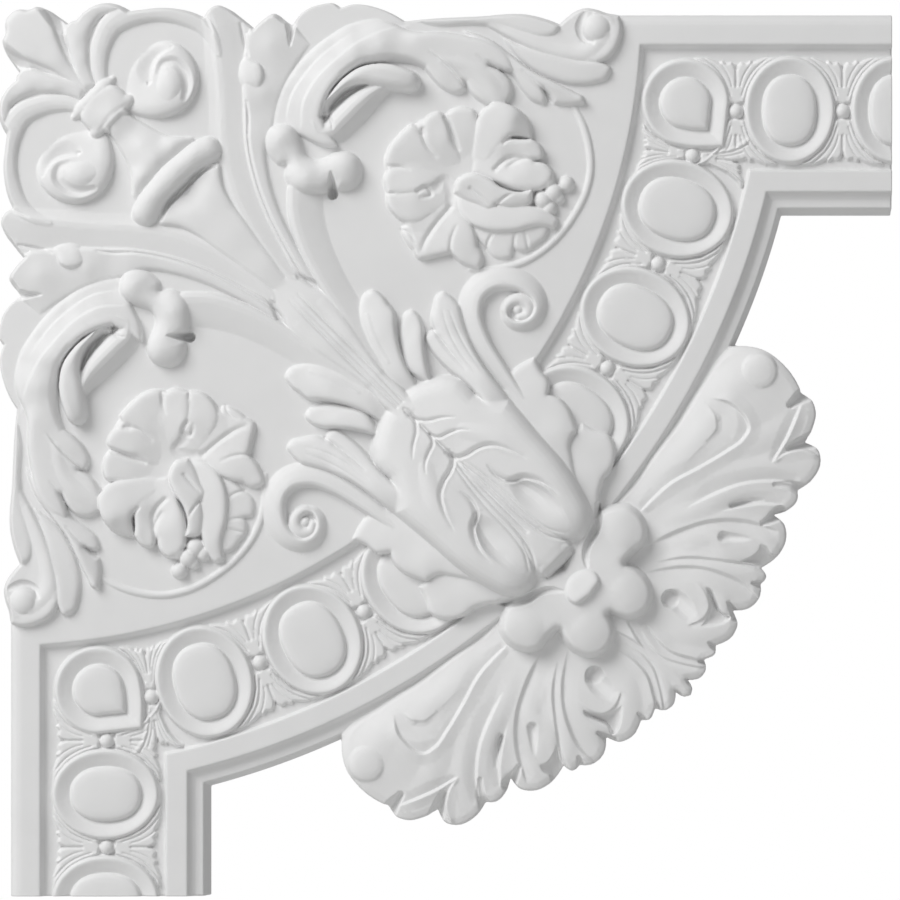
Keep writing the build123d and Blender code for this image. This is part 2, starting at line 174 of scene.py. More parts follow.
class Relief:
    """A height field over the drawing frame. Rows run down the sheet (d) and columns across it (x)."""

    def __init__(self, x0: float = SHEET_START, d0: float = SHEET_START, span: float = SHEET_SPAN,
            cells: int = SHEET_CELLS) -> None:
        """Starts with nothing but the ground far below the back plane.

        Args:
            x0: first column, in mm across.
            d0: first row, in mm down.
            span: length of each side in mm.
            cells: number of cells along a side.
        """
        self.step = span / cells
        self.x = (x0 + self.step * np.arange(cells + 1)).astype(np.float32)
        self.d = (d0 + self.step * np.arange(cells + 1)).astype(np.float32)
        self.z = np.full((cells + 1, cells + 1), BELOW, np.float32)

    def window(self, x0: float, x1: float, d0: float, d1: float) -> Window | None:
        """Rows and columns of the cells in a rectangle, or None where it misses the sheet.

        Args:
            x0: left side of the rectangle.
            x1: right side.
            d0: upper side.
            d1: lower side.

        Returns:
            The rows and the columns, or None.
        """
        c = [int(np.clip(math.ceil((v - self.x[0]) / self.step), 0, len(self.x))) for v in (x0, x1)]
        r = [int(np.clip(math.ceil((v - self.d[0]) / self.step), 0, len(self.d))) for v in (d0, d1)]
        if c[0] >= c[1] or r[0] >= r[1]:
            return None
        return slice(r[0], r[1]), slice(c[0], c[1])

    def near(self, line: np.ndarray, reach: float) -> Measured | None:
        """Measures cells from a line.

        Args:
            line: rows of x and d.
            reach: cells further than this stay out.

        Returns:
            The window, and for its cells the distance, the place along the line in rows, and the side: 1 on
            the
            right hand of someone who walks along the line, -1 on the left. None where the line misses the
            sheet.
        """
        (x0, d0), (x1, d1) = line[:, :2].min(0), line[:, :2].max(0)
        win = self.window(x0 - reach, x1 + reach, d0 - reach, d1 + reach)
        if win is None:
            return None
        rows, cols = win
        shape = (rows.stop - rows.start, cols.stop - cols.start)
        best = np.full(shape, reach * reach, np.float32)
        place, side = np.zeros(shape, np.float32), np.ones(shape, np.float32)
        for i in range(len(line) - 1):
            (ax, ad), (bx, bd) = line[i, :2], line[i + 1, :2]
            part = self.window(min(ax, bx) - reach, max(ax, bx) + reach, min(ad, bd) - reach, max(ad,
                bd) + reach)
            if part is None:
                continue
            ux, ud = bx - ax, bd - ad
            px, pd = self.x[part[1]][None, :] - np.float32(ax), self.d[part[0]][:, None] - np.float32(ad)
            t = np.clip((px * ux + pd * ud) * np.float32(1 / max(ux * ux + ud * ud, 1e-9)), 0, 1)
            ex, ed = px - t * np.float32(ux), pd - t * np.float32(ud)
            far = ex * ex + ed * ed
            sub = (
                slice(part[0].start - rows.start, part[0].stop - rows.start),
                slice(part[1].start - cols.start, part[1].stop - cols.start),
            )
            closer = far < best[sub]
            best[sub] = np.where(closer, far, best[sub])
            place[sub] = np.where(closer, i + t, place[sub])
            side[sub] = np.where(closer, np.where(ed * ux - ex * ud >= 0, 1, -1), side[sub])
        return win, np.sqrt(best), place, side

    def inside(self, line: np.ndarray, win: Window) -> np.ndarray:
        """True for the cells of a window that lie inside a closed line.

        Args:
            line: the closed line, in rows of x and d.
            win: rows and columns of the cells.

        Returns:
            One truth value for each cell.
        """
        rows, cols = win
        xs, ds = self.x[cols], self.d[rows]
        turn = np.zeros((len(ds), len(xs) + 1), bool)
        for a, b in zip(line[:, :2], np.roll(line[:, :2], -1, axis=0)):
            lo, hi = sorted((a[1], b[1]))
            r = np.nonzero((ds >= lo) & (ds < hi))[0]
            if len(r):
                cross = a[0] + (ds[r] - a[1]) * (b[0] - a[0]) / (b[1] - a[1])
                turn[r, np.clip(np.ceil((cross - xs[0]) / self.step), 0, len(xs)).astype(int)] ^= True
        return np.logical_xor.accumulate(turn[:, :-1], axis=1)

    def put(self, win: Window, new: np.ndarray, mask: np.ndarray, lay: Lay, soft: float = 0.0) -> None:
        """Lays new heights on the cells of a window, in one of the ways of Lay.

        Args:
            win: rows and columns of the cells.
            new: heights to lay, or amounts to add.
            mask: cells that take part.
            lay: how they meet what is there.
            soft: width in height of the fillet.
        """
        old = self.z[win]
        if lay is Lay.RAISE:
            top = np.maximum(old, new)
            if soft > 0:
                top = top + np.maximum(0, 1 - np.abs(old - new) / soft) ** 2 * soft / 4
        elif lay is Lay.SINK:
            top = np.minimum(old, new)
        elif lay is Lay.ADD:
            top = old + new
        else:
            top = new
        self.z[win] = np.where(mask, top, old)

    def stroke(self, points: Rows, cut: Cut | Rows = Cut.ROUND, depth: float = 4.0, lay: Lay = Lay.RAISE,
            soft: float = 0.0, both: bool = False) -> None:
        """Cuts one stroke along stations of (x, d, half width, top).

        Args:
            points: the stations. Under Lay.ADD the last number is the height added, below 0 for a groove.
            cut: the cross-section, or pairs of place across and share of the height.
            depth: how far the edge of the section lies under its top.
            lay: how the stroke meets the surface.
            soft: width in height of the fillet where the stroke meets the surface.
            both: also cuts the mirror image over the diagonal.
        """
        if both:
            self.stroke([(p[1], p[0], *p[2:]) for p in points][::-1], cut, depth, lay, soft)
        line = curve(points)
        found = self.near(line, float(line[:, 2].max()))
        if found is None:
            return
        win, far, place, side = found
        rows = np.arange(len(line))
        half = np.interp(place, rows, np.maximum(line[:, 2], 0.05)).astype(np.float32)
        top = np.interp(place, rows, line[:, 3]).astype(np.float32)
        knots = np.asarray(cut.value if isinstance(cut, Cut) else cut)
        across = side * far / half
        share = np.interp(across, knots[:, 0], knots[:, 1]).astype(np.float32)
        new = top * share if lay is Lay.ADD else top - depth * (1 - share)
        self.put(win, new, np.abs(across) < 1, lay, soft)

    def add(self, points: Rows, cut: Cut | Rows, both: bool = False) -> None:
        """Adds a rise along stations, or a groove where their last number is below 0."""
        self.stroke(points, cut, 0.0, Lay.ADD, both=both)

    def ball(self, x: float, d: float, radius: float, top: float, squash: float = 1.0) -> None:
        """Sets a ball of a radius with its top at a height.

        Args:
            x: place of its middle across.
            d: place of its middle down.
            radius: its radius in mm.
            top: height of its top.
            squash: share of its height against its width.
        """
        win = self.window(x - radius, x + radius, d - radius, d + radius)
        if win is None:
            return
        away = (self.x[win[1]][None, :] - x) ** 2 + (self.d[win[0]][:, None] - d) ** 2
        cap = top - radius * squash * (1 - np.sqrt(np.maximum(0, 1 - away / radius**2)))
        self.put(win, cap.astype(np.float32), away < radius**2, Lay.RAISE)

    def plateau(self, line: np.ndarray, top: float | Rows, edge: Rows, lay: Lay = Lay.RAISE,
            soft: float = 0.0) -> None:
        """Lays a surface inside a closed line.

        Args:
            line: the closed line.
            top: a height, or rows of (x, d, height) that the surface passes through.
            edge: pairs of distance in from the line and height against the surface, the furthest first from
            the line.
            lay: how the surface meets what is there.
            soft: width in height of the fillet.
        """
        knots = np.asarray(edge, float)
        reach = max(float(np.abs(knots[:, 0]).max()), 0.6)
        found = self.near(np.vstack([line, line[:1]]), reach)
        if found is None:
            return
        win, far, _, _ = found
        within = self.inside(line, win)
        gap = np.where(within, far, -far)
        level = self.sheet(top, win) if np.ndim(top) else np.float32(top)
        new = level + np.interp(gap, knots[:, 0], knots[:, 1]).astype(np.float32)
        self.put(win, new, within | (gap > knots[0, 0]) if knots[0, 0] < 0 else within, lay, soft)

    def sheet(self, points: Rows, win: Window) -> np.ndarray:
        """A smooth surface through rows of (x, d, height), over the cells of a window.

        Args:
            points: rows of x, d and height.
            win: rows and columns of the cells.

        Returns:
            A height for each cell.
        """
        p = np.asarray(points, float)
        centre, size = p[:, :2].mean(0), max(np.ptp(p[:, :2]), 1.0)
        q = (p[:, :2] - centre) / size

        def bend(r2: np.ndarray) -> np.ndarray:
            """The thin plate's own curve against squared distance."""
            return np.where(r2 > 0, r2 * np.log(np.maximum(r2, 1e-12)), 0)

        n = len(p)
        system = np.zeros((n + 3, n + 3))
        system[:n, :n] = bend(((q[:, None] - q[None]) ** 2).sum(-1)) + np.eye(n) * 1e-4
        system[:n, n] = system[n, :n] = 1
        system[:n, n + 1 :] = q
        system[n + 1 :, :n] = q.T
        w = np.linalg.solve(system, np.concatenate([p[:, 2], np.zeros(3)]))
        gx = ((self.x[win[1]] - centre[0]) / size)[None, :]
        gd = ((self.d[win[0]] - centre[1]) / size)[:, None]
        out = w[n] + w[n + 1] * gx + w[n + 2] * gd
        for (cx, cd), weight in zip(q, w):
            out = out + weight * bend((gx - cx) ** 2 + (gd - cd) ** 2)
        return out.astype(np.float32)

    def mirror(self) -> None:
        """Copies the half right of the diagonal over the other half."""
        upper = np.triu(np.ones(self.z.shape, bool))
        self.z = np.where(upper, self.z, self.z.T)

    def soften(self, width: float) -> None:
        """Takes the tool's sharpness off every edge.

        Args:
            width: spread of the blur in mm.
        """
        k = np.exp(-0.5 * (np.arange(-3, 4) * self.step / width) ** 2)
        k /= k.sum()
        for axis in (0, 1):
            padded = np.pad(self.z, [(3, 3) if a == axis else (0, 0) for a in (0, 1)], mode="edge")
            n = self.z.shape[axis]
            self.z = sum(
                np.float32(w) * (padded[i : i + n] if axis == 0 else padded[:, i : i + n]) for i,
                w in enumerate(k)
            )


# The legs, the band and its eggs


@dataclass
class Track:
    """The legs and the band that joins them, with their stepped section."""

    reach: float = 508.0
    radius: float = 366.5
    recess_out: float = 23.0
    roll_from: float = 346.0
    saw: tuple = ((-0.8, 40), (-0.5, 14), (0.4, -8))
    section: tuple = (
        (-9, 18.5), (19.4, 18.5), (20.2, 18.1), (21.2, 15.9), (21.9, 14.1), (23.0, 13.5), (91.2, 13.5),
        (91.7, 17.1), (92.4, 17.5), (103.4, 17.5), (104.2, 17.1), (105.0, 15.2), (106.6, 13.6), (108.6, 12.7),
        (112.4, 12.5), (113.2, 12.1), (114.6, 6.0), (116.4, 0.0), (118.4, -8.0),
    )
    roll: tuple = ((0.9, -8), (1.7, 0), (2.4, 12.6), (3.0, 14.6), (4.4, 16.6), (6.4, 17.9), (8.6, 18.4),
        (9.9, 18.5))

    def inset(self, relief: Relief, rows: slice, cols: slice) -> np.ndarray:
        """Distance in from the outer edge, along the legs and round the band alike."""
        x, d = relief.x[cols][None, :], relief.d[rows][:, None]
        return np.minimum(np.minimum(x, d), np.hypot(x, d) - (self.radius - self.recess_out))

    def carve(self, relief: Relief) -> None:
        """Lays the stepped section over the whole sheet, then the rolled outer edge of the legs.

        Args:
            relief: the sheet.
        """
        everywhere = slice(0, len(relief.d)), slice(0, len(relief.x))
        q = self.inset(relief, *everywhere)
        z = np.interp(q, *np.transpose(self.section)).astype(np.float32)
        x, d = relief.x[None, :], relief.d[:, None]
        along = np.maximum(x, d)
        edge = np.interp(np.minimum(x, d), *np.transpose(self.roll)).astype(np.float32)
        relief.z = np.where(along > self.roll_from, np.minimum(z, edge), z)

    def cut_ends(self, relief: Relief) -> None:
        """Saws both legs off square.

        Args:
            relief: the sheet.
        """
        along = np.maximum(relief.x[None, :], relief.d[:, None])
        places, heights = zip(*((self.reach + past, height) for past, height in self.saw))
        end = np.interp(along, places, heights).astype(np.float32)
        relief.z = np.minimum(relief.z, end)


@dataclass
class Eggs:
    """Eggs, beads and husks in the sunk track."""

    floor: float = 13.5
    line: float = 57.25
    ring_radius: float = 400.75
    leg_start: float = 448.6
    leg_pitch: float = 61.0
    leg_half: tuple = (26.3, 31.1)
    arc_half: tuple = (28.2, 32.8)
    arc_pitch: float = 9.5
    section: tuple = (
        (0, 0.0), (0.5, 2.4), (1.2, 4.1), (2.2, 4.5), (3.6, 4.1), (5.6, 3.1), (8.0, 2.1), (9.6, 1.2),
        (10.8, 0.6),
    )
    skirt: float = 1.6
    dome_gap: float = 10.8
    dome_power: float = 2.3
    dome: tuple = ((0, 0.8), (0.3, 2.6), (0.9, 3.7), (2.2, 4.4), (5.0, 4.9), (10.0, 5.2), (16.0, 5.3))
    fan: tuple = (
        (0, 3.5), (4.6, 5), (7.0, 13), (12, 21.5), (19, 27.5), (25, 30.8), (17, 31), (12.4, 29.4), (9.8, 28),
        (8, 29.4), (5.6, 27.4), (2.8, 28.4), (0.9, 26.4), (0, 24.5),
    )
    strands: tuple = (
        (((3.9, 5), (6.0, 13), (10.4, 21.2), (17.0, 27.2), (22, 29.8)), 1.3, 0.6, Cut.ROUND),
        (((3.4, 9), (5.0, 14), (8.8, 21.5), (14.6, 27.6), (18.4, 30.4)), 0.9, -1.2, Cut.GROOVE),
        (((2.4, 14), (3.4, 18), (5.8, 23), (9.6, 28.2)), 0.8, -0.9, Cut.GROOVE),
        (((0, 14), (0, 18), (0, 25.5)), 1.3, -1.6, Cut.GROOVE),
    )
    pear_centre: tuple = (389.0, 53.0)
    pear_half: float = 25.5
    pear_tip: tuple = (22.4, 26.0)
    pear_angles: range = range(-14, 283, 20)
    pear_reach: float = 18.0
    fan_height: float = 2.5
    fan_edge: tuple = ((0, -2.5), (0.5, -1.0), (1.1, -0.2), (1.8, 0))
    bead_radius: float = 4.3
    bead_height: float = 4.6
    bead_shift: float = 0.6
    arc_spread: float = 1.08
    corner_husks: tuple = (393.1, 83.3, math.radians(98), 0.6)

    def on_band(self, angle: float) -> tuple[float, float]:
        """The place on the band's middle line at an angle from the top leg's direction."""
        return self.ring_radius * math.cos(angle), self.ring_radius * math.sin(angle)

    def egg(self, relief: Relief, x: float, d: float, half: tuple, turn: float = 0.0) -> None:
        """Cuts one oval egg: raised ring, dish and dome.

        Args:
            relief: the sheet.
            x: place of its middle across.
            d: place of its middle down.
            half: half sizes along and across, before the turn.
            turn: turn of its long side in radians.
        """
        reach = max(half) + 1
        win = relief.window(x - reach, x + reach, d - reach, d + reach)
        if win is None:
            return
        gx, gd = relief.x[win[1]][None, :] - x, relief.d[win[0]][:, None] - d
        along = gx * math.cos(turn) + gd * math.sin(turn)
        across = gd * math.cos(turn) - gx * math.sin(turn)
        away = np.hypot(gx, gd)
        rim = np.maximum(np.hypot(along / half[0], across / half[1]), 1e-4)
        power = self.dome_power
        a, b = np.abs(along) / (half[0] - self.dome_gap), np.abs(across) / (half[1] - self.dome_gap)
        dome = np.maximum((a**power + b**power) ** (1 / power), 1e-4)
        self.dish(relief, win, (1 / rim - 1) * away, (1 / dome - 1) * away, rim < 1)

    def dish(self, relief: Relief, win: Window, rim: np.ndarray, dome: np.ndarray, mask: np.ndarray) -> None:
        """Lays ring and dish by the distance in from the edge, and the dome by the distance in from its own.

        Args:
            relief: the sheet.
            win: rows and columns of the cells.
            rim: distance in from the egg's edge.
            dome: distance in from the dome's own edge, below 0 outside it.
            mask: cells that lie inside the egg.
        """
        z = np.interp(rim, *np.transpose(self.section))
        z = np.where(dome > 0, np.interp(dome, *np.transpose(self.dome)), z)
        z = (self.floor + z).astype(np.float32)
        relief.put(win, z, mask & (rim < self.skirt), Lay.RAISE)
        relief.put(win, z, mask & (rim >= self.skirt), Lay.SET)

    def pear(self, relief: Relief) -> None:
        """Cuts the pear-shaped egg where leg and band meet.

        Args:
            relief: the sheet.
        """
        cx, cd = self.pear_centre
        arc = [
            (cx + self.pear_half * math.cos(math.radians(a)), cd - self.pear_half * math.sin(math.radians(a)))
            for a in self.pear_angles
        ]
        tip = (cx + self.pear_tip[0], cd + self.pear_tip[1])
        line = outline([tip] + arc[:4], arc[4:-3], arc[-3:] + [tip])
        found = relief.near(np.vstack([line, line[:1]]), self.pear_reach)
        if found is None:
            return
        win, far, _, _ = found
        within = relief.inside(line, win)
        self.dish(relief, win, far, far - self.dome_gap, within)

    def husks(self, relief: Relief, x: float, d: float, turn: float, wide: float) -> None:
        """Cuts the pointed leaves that fill the gap between two rings on both sides of a bead, and the bead.

        Args:
            relief: the sheet.
            x: place of the bead across.
            d: place of the bead down.
            turn: direction along the track in radians.
            wide: share by which the leaves are spread along the track.
        """

        def place(u: float, v: float) -> tuple:
            """A point along and across the track, on the sheet."""
            along, across = wide * u, v
            return (
                x + along * math.cos(turn) - across * math.sin(turn),
                d + along * math.sin(turn) + across * math.cos(turn),
            )

        for way in (-1, 1):
            side = [place(u, v * way) for u, v in self.fan]
            other = [place(-u, v * way) for u, v in self.fan[::-1]]
            relief.plateau(np.array(side + other), self.floor + self.fan_height, self.fan_edge)
            for hand in (-1, 1):
                for points, half, depth, cut in self.strands:
                    if points[0][0] or hand > 0:
                        stations = [(*place(u * hand, v * way), half, depth) for u, v in points]
                        relief.add(stations, cut)
        relief.ball(x, d, self.bead_radius, self.floor + self.bead_height)

    def carve(self, relief: Relief) -> None:
        """Cuts the pattern along the top leg and its half of the band.

        Args:
            relief: the sheet.
        """
        for i in (-1, 1, 3):
            self.husks(relief, self.leg_start + i * self.leg_pitch / 2, self.line + self.bead_shift, 0.0, 1.0)
        for i in range(4):
            angle = math.radians(45 - (i - 0.5) * self.arc_pitch)
            x, d = self.on_band(angle)
            self.husks(relief, x, d, angle + math.pi / 2, self.arc_spread)
        self.husks(relief, *self.corner_husks)
        for i in range(2):
            self.egg(relief, self.leg_start + i * self.leg_pitch, self.line, self.leg_half)
        for i in range(4):
            angle = math.radians(45 - i * self.arc_pitch)
            x, d = self.on_band(angle)
            self.egg(relief, x, d, self.arc_half[::-1], angle)
        self.pear(relief)


# The leaf edge of the whole sheet


@dataclass
class LeafEdge:
    """The lobed outline of the field and of the shell, and the drafted wall below it."""

    field: tuple = (
        ((2.0, 2.0), (3.6, 0.6), (8.0, -0.9), (13.0, -0.6), (17.5, -2.4), (23.0, -0.5), (28.5, 3.2),
         (35.0, 8.0)),
        ((37.0, 6.2), (40.2, 5.3)),
        ((44.0, 1.0), (50.0, -2.8), (57.0, -4.5), (63.0, -3.8), (70.5, 0.2)),
        ((80.0, -1.0), (88.0, -1.8), (97.0, -1.3), (106.0, 0.6), (113.2, 3.6)),
        ((115.8, -0.8), (121.0, -3.2), (127.0, -1.2), (133.0, 3.2), (141.6, 10.2)),
        ((147.0, 5.0), (153.5, 1.5), (160.0, 6.0), (163.6, 8.2)),
        ((168.0, 2.6), (174.0, -1.8), (181.0, -3.8), (188.0, -4.2), (191.6, -1.6)),
        ((198.0, -3.6), (204.0, -3.6), (213.0, -1.6), (221.0, 1.6), (228.4, 6.0)),
        ((240.0, 4.8), (270.0, 3.2), (299.0, 2.2), (309.0, 4.6), (317.0, 7.6)),
        ((321.0, 4.0), (326.0, 0.2), (332.0, -1.6), (338.0, -0.8), (344.0, 1.2), (350.0, 2.2)),
    )
    shell: tuple = (
        ((415.0, 192.0), (425.0, 191.8), (434.0, 194.0), (443.0, 200.0), (451.0, 209.0), (456.0, 218.5)),
        ((461.5, 222.5), (464.2, 230.0), (462.5, 239.0), (458.5, 247.0)),
        ((465.5, 251.5), (466.8, 260.0), (462.0, 269.0), (454.0, 275.0)),
        ((453.4, 281.0), (448.0, 286.4), (440.5, 289.0)),
        ((446.0, 294.0), (447.2, 303.0), (442.0, 313.0), (433.0, 319.5)),
        ((435.9, 324.0), (433.0, 329.0)),
        ((431.6, 337.0), (426.0, 342.6), (417.0, 344.0)),
        ((419.4, 351.0), (416.0, 359.0), (407.0, 364.0)),
        ((406.5, 368.6), (400.5, 372.0)),
        ((401.2, 377.6), (398.0, 382.4), (391.0, 384.0)),
        ((393.4, 388.0), (392.5, 392.5)),
    )
    above: tuple = (350.0, -30.0)
    far: tuple = ((530.0, -30.0), (530.0, 150.0))
    wall: tuple = ((-1.9, -8.0), (-1.1, 0.0), (-0.3, 10.0), (0.1, 13.5), (0.7, 16.6), (1.5, 19.2),
        (2.6, 21.6), (3.8, 40.0))

    def line(self) -> np.ndarray:
        """The closed outline, with room beyond the legs, which end by themselves.

        Returns:
            Rows of x and d.
        """
        top, right = outline(*self.field, (self.above,)), outline(self.far, (self.shell[0][0],))
        half = np.vstack([top, right, outline(*self.shell)])
        return over_diagonal(half)

    def trim(self, relief: Relief) -> None:
        """Cuts the sheet off outside the outline and rounds its upper edge.

        Args:
            relief: the sheet.
        """
        line = self.line()
        knots = np.asarray(self.wall)
        win, far, _, _ = relief.near(np.vstack([line, line[:1]]), 6.2)
        within = relief.inside(line, win)
        cap = np.interp(np.where(within, far, -far), knots[:, 0], knots[:, 1]).astype(np.float32)
        relief.z[win] = np.minimum(relief.z[win], cap)
        keep = np.zeros(relief.z.shape, bool)
        keep[win] = True
        relief.z = np.where(keep, relief.z, BELOW)


@dataclass
class Mesher:
    """Turns the relief into meshes: thins it to triangles that follow the form, and cuts it at the back
    plane."""

    limit: float = 0.045

    def errors(self, z: np.ndarray) -> np.ndarray:
        """How much each sample matters, with what hangs on it, from the finest squares up.

        Args:
            z: heights of the samples.

        Returns:
            One number for each sample, in mm.
        """
        n = len(z) - 1
        slope = np.hypot(*np.gradient(z, SHEET_SPAN / n))
        weight = 1 / np.sqrt(1 + slope**2)
        err = np.zeros_like(z)
        s = 1
        while s < n:
            sub, share, out = z[::s, ::s], weight[::s, ::s], err[::s, ::s]
            around = np.zeros_like(sub)
            if s > 1:
                cell = err[s // 2 :: s, s // 2 :: s]
                padded = np.pad(cell, 1)
                around = np.maximum.reduce([padded[1:, 1:], padded[1:, :-1], padded[:-1, 1:],
                    padded[:-1, :-1]])
            own = np.abs(sub[1::2, ::2] - (sub[:-2:2, ::2] + sub[2::2, ::2]) / 2) * share[1::2, ::2]
            out[1::2, ::2] = np.maximum(own, around[1::2, ::2])
            own = np.abs(sub[::2, 1::2] - (sub[::2, :-2:2] + sub[::2, 2::2]) / 2) * share[::2, 1::2]
            out[::2, 1::2] = np.maximum(own, around[::2, 1::2])
            main = (sub[:-2:2, :-2:2] + sub[2::2, 2::2]) / 2
            other = (sub[:-2:2, 2::2] + sub[2::2, :-2:2]) / 2
            i, j = np.indices(main.shape)
            own = np.abs(sub[1::2, 1::2] - np.where((i + j) % 2 == 0, main, other)) * share[1::2, 1::2]
            edges = [out[:-2:2, 1::2], out[2::2, 1::2], out[1::2, :-2:2], out[1::2, 2::2]]
            out[1::2, 1::2] = np.maximum.reduce([own] + edges)
            s *= 2
        return err

    def triangles(self, err: np.ndarray) -> np.ndarray:
        """Splits the sheet's two halves wherever a sample matters.

        Args:
            err: how much each sample matters.

        Returns:
            Rows of three sample numbers.
        """
        n = len(err) - 1
        tri = np.array([[0, 0, n, n, n, 0], [n, n, 0, 0, 0, n]])
        done = []
        while len(tri):
            mid = (tri[:, :2] + tri[:, 2:4]) // 2
            whole = ((tri[:, :2] + tri[:, 2:4]) % 2 == 0).all(1)
            split = whole & (err[mid[:, 1], mid[:, 0]] > self.limit)
            done.append(tri[~split])
            a, b, c, m = tri[split, :2], tri[split, 2:4], tri[split, 4:], mid[split]
            tri = np.vstack([np.hstack([c, a, m]), np.hstack([b, c, m])])
        flat = np.vstack(done).reshape(-1, 3, 2)
        return flat[:, :, 1] * (n + 1) + flat[:, :, 0]

    def build(self, relief: Relief) -> Surface:
        """Makes the thinned surface.

        Args:
            relief: the carved sheet.

        Returns:
            Points (x, d, z), unit normals in the same frame, triangles, and the closed loops of points on
            the back plane.
        """
        z = relief.z
        steep_d, steep_x = np.gradient(z, relief.step)
        fine = z[::2, ::2]
        tri = self.triangles(self.errors(fine.astype(np.float64)))
        n = len(fine)
        flat = fine.ravel()
        tri = tri[(flat[tri] > 0).any(1)]
        used, tri = np.unique(tri, return_inverse=True)
        tri = tri.reshape(-1, 3)
        r, c = used // n, used % n
        points = np.stack([relief.x[::2][c], relief.d[::2][r], fine[r, c]], 1).astype(np.float64)
        normals = np.stack([-steep_x[::2, ::2][r, c], -steep_d[::2, ::2][r, c],
            np.ones(len(r))], 1).astype(np.float64)
        return self.clip(points, normals, tri)

    def clip(self, points: np.ndarray, normals: np.ndarray, tri: np.ndarray) -> Surface:
        """Cuts the surface off at the back plane and finds the loops that the cut leaves.

        Args:
            points: points as x, d and height.
            normals: a normal for each point.
            tri: rows of three point numbers.

        Returns:
            What build returns.
        """
        up = points[:, 2] > 0
        count = up[tri].sum(1)
        whole = tri[count == 3]
        pieces, ends = [whole], []
        for wanted in (1, 2):
            some = tri[count == wanted]
            lone = up[some] if wanted == 1 else ~up[some]
            at = lone.argmax(1)
            a, b, c = (some[np.arange(len(some)), (at + k) % 3] for k in range(3))
            ends.append((a, b, c))
        pairs = np.vstack([np.stack([a, o], 1) for a, b, c in ends for o in (b, c)])
        keys = np.sort(pairs, axis=1)
        unique, back = np.unique(keys, axis=0, return_inverse=True)
        back = back.ravel()
        lo, hi = unique.T
        t = (points[lo, 2] / (points[lo, 2] - points[hi, 2]))[:, None]
        extra = points[lo] + (points[hi] - points[lo]) * t
        extra[:, 2] = 0
        lean = normals[lo] * (1 - t) + normals[hi] * t
        start = len(points)
        n1, n2 = len(ends[0][0]), len(ends[1][0])
        ab1, ac1 = back[:n1] + start, back[n1 : 2 * n1] + start
        ab2, ac2 = back[2 * n1 : 2 * n1 + n2] + start, back[2 * n1 + n2 :] + start
        pieces.append(np.stack([ends[0][0], ab1, ac1], 1))
        _, b, c = ends[1]
        pieces.append(np.stack([ab2, b, c], 1))
        pieces.append(np.stack([ab2, c, ac2], 1))
        rim = np.vstack([np.stack([ab1, ac1], 1), np.stack([ac2, ab2], 1)])
        points, normals = np.vstack([points, extra]), np.vstack([normals, lean])
        tri = np.vstack(pieces)
        tri = tri[(tri[:, 0] != tri[:, 1]) & (tri[:, 1] != tri[:, 2]) & (tri[:, 0] != tri[:, 2])]
        normals /= np.linalg.norm(normals, axis=1)[:, None]
        return points, normals, tri, self.loops(rim)

    def loops(self, rim: np.ndarray) -> list[list[int]]:
        """Chains edges into closed loops, the longest first.

        Args:
            rim: rows of two point numbers, one row for each edge.

        Returns:
            The loops, as lists of point numbers.
        """
        following = {int(a): int(b) for a, b in rim}
        found = []
        while following:
            first, here = following.popitem()
            loop = [first]
            while here != first and here in following:
                loop.append(here)
                here = following.pop(here)
            found.append(loop)
        return sorted(found, key=len, reverse=True)


# Finish and pieces


def linear(code: str) -> tuple[float, float, float, float]:
    """Turns an sRGB hex colour to the linear values that a shader takes."""
    parts = [int(code[i : i + 2], 16) / 255 for i in (1, 3, 5)]
    return (*(c / 12.92 if c <= 0.04045 else ((c + 0.055) / 1.055) ** 2.4 for c in parts), 1.0)


def add_node(tree: bpy.types.NodeTree, kind: str,
        settings: dict | None = None, **inputs: object) -> bpy.types.Node:
    """Adds a shader node.

    Args:
        tree: the node tree.
        kind: the node's type name.
        settings: properties of the node itself.
        inputs: values or output sockets for its inputs, by name, with _ for a space.

    Returns:
        The node.
    """
    node = tree.nodes.new(kind)
    for name, value in (settings or {}).items():
        setattr(node, name, value)
    for name, value in inputs.items():
        socket = node.inputs[name.replace("_", " ")]
        if isinstance(value, bpy.types.NodeSocket):
            tree.links.new(value, socket)
        else:
            socket.default_value = value
    return node


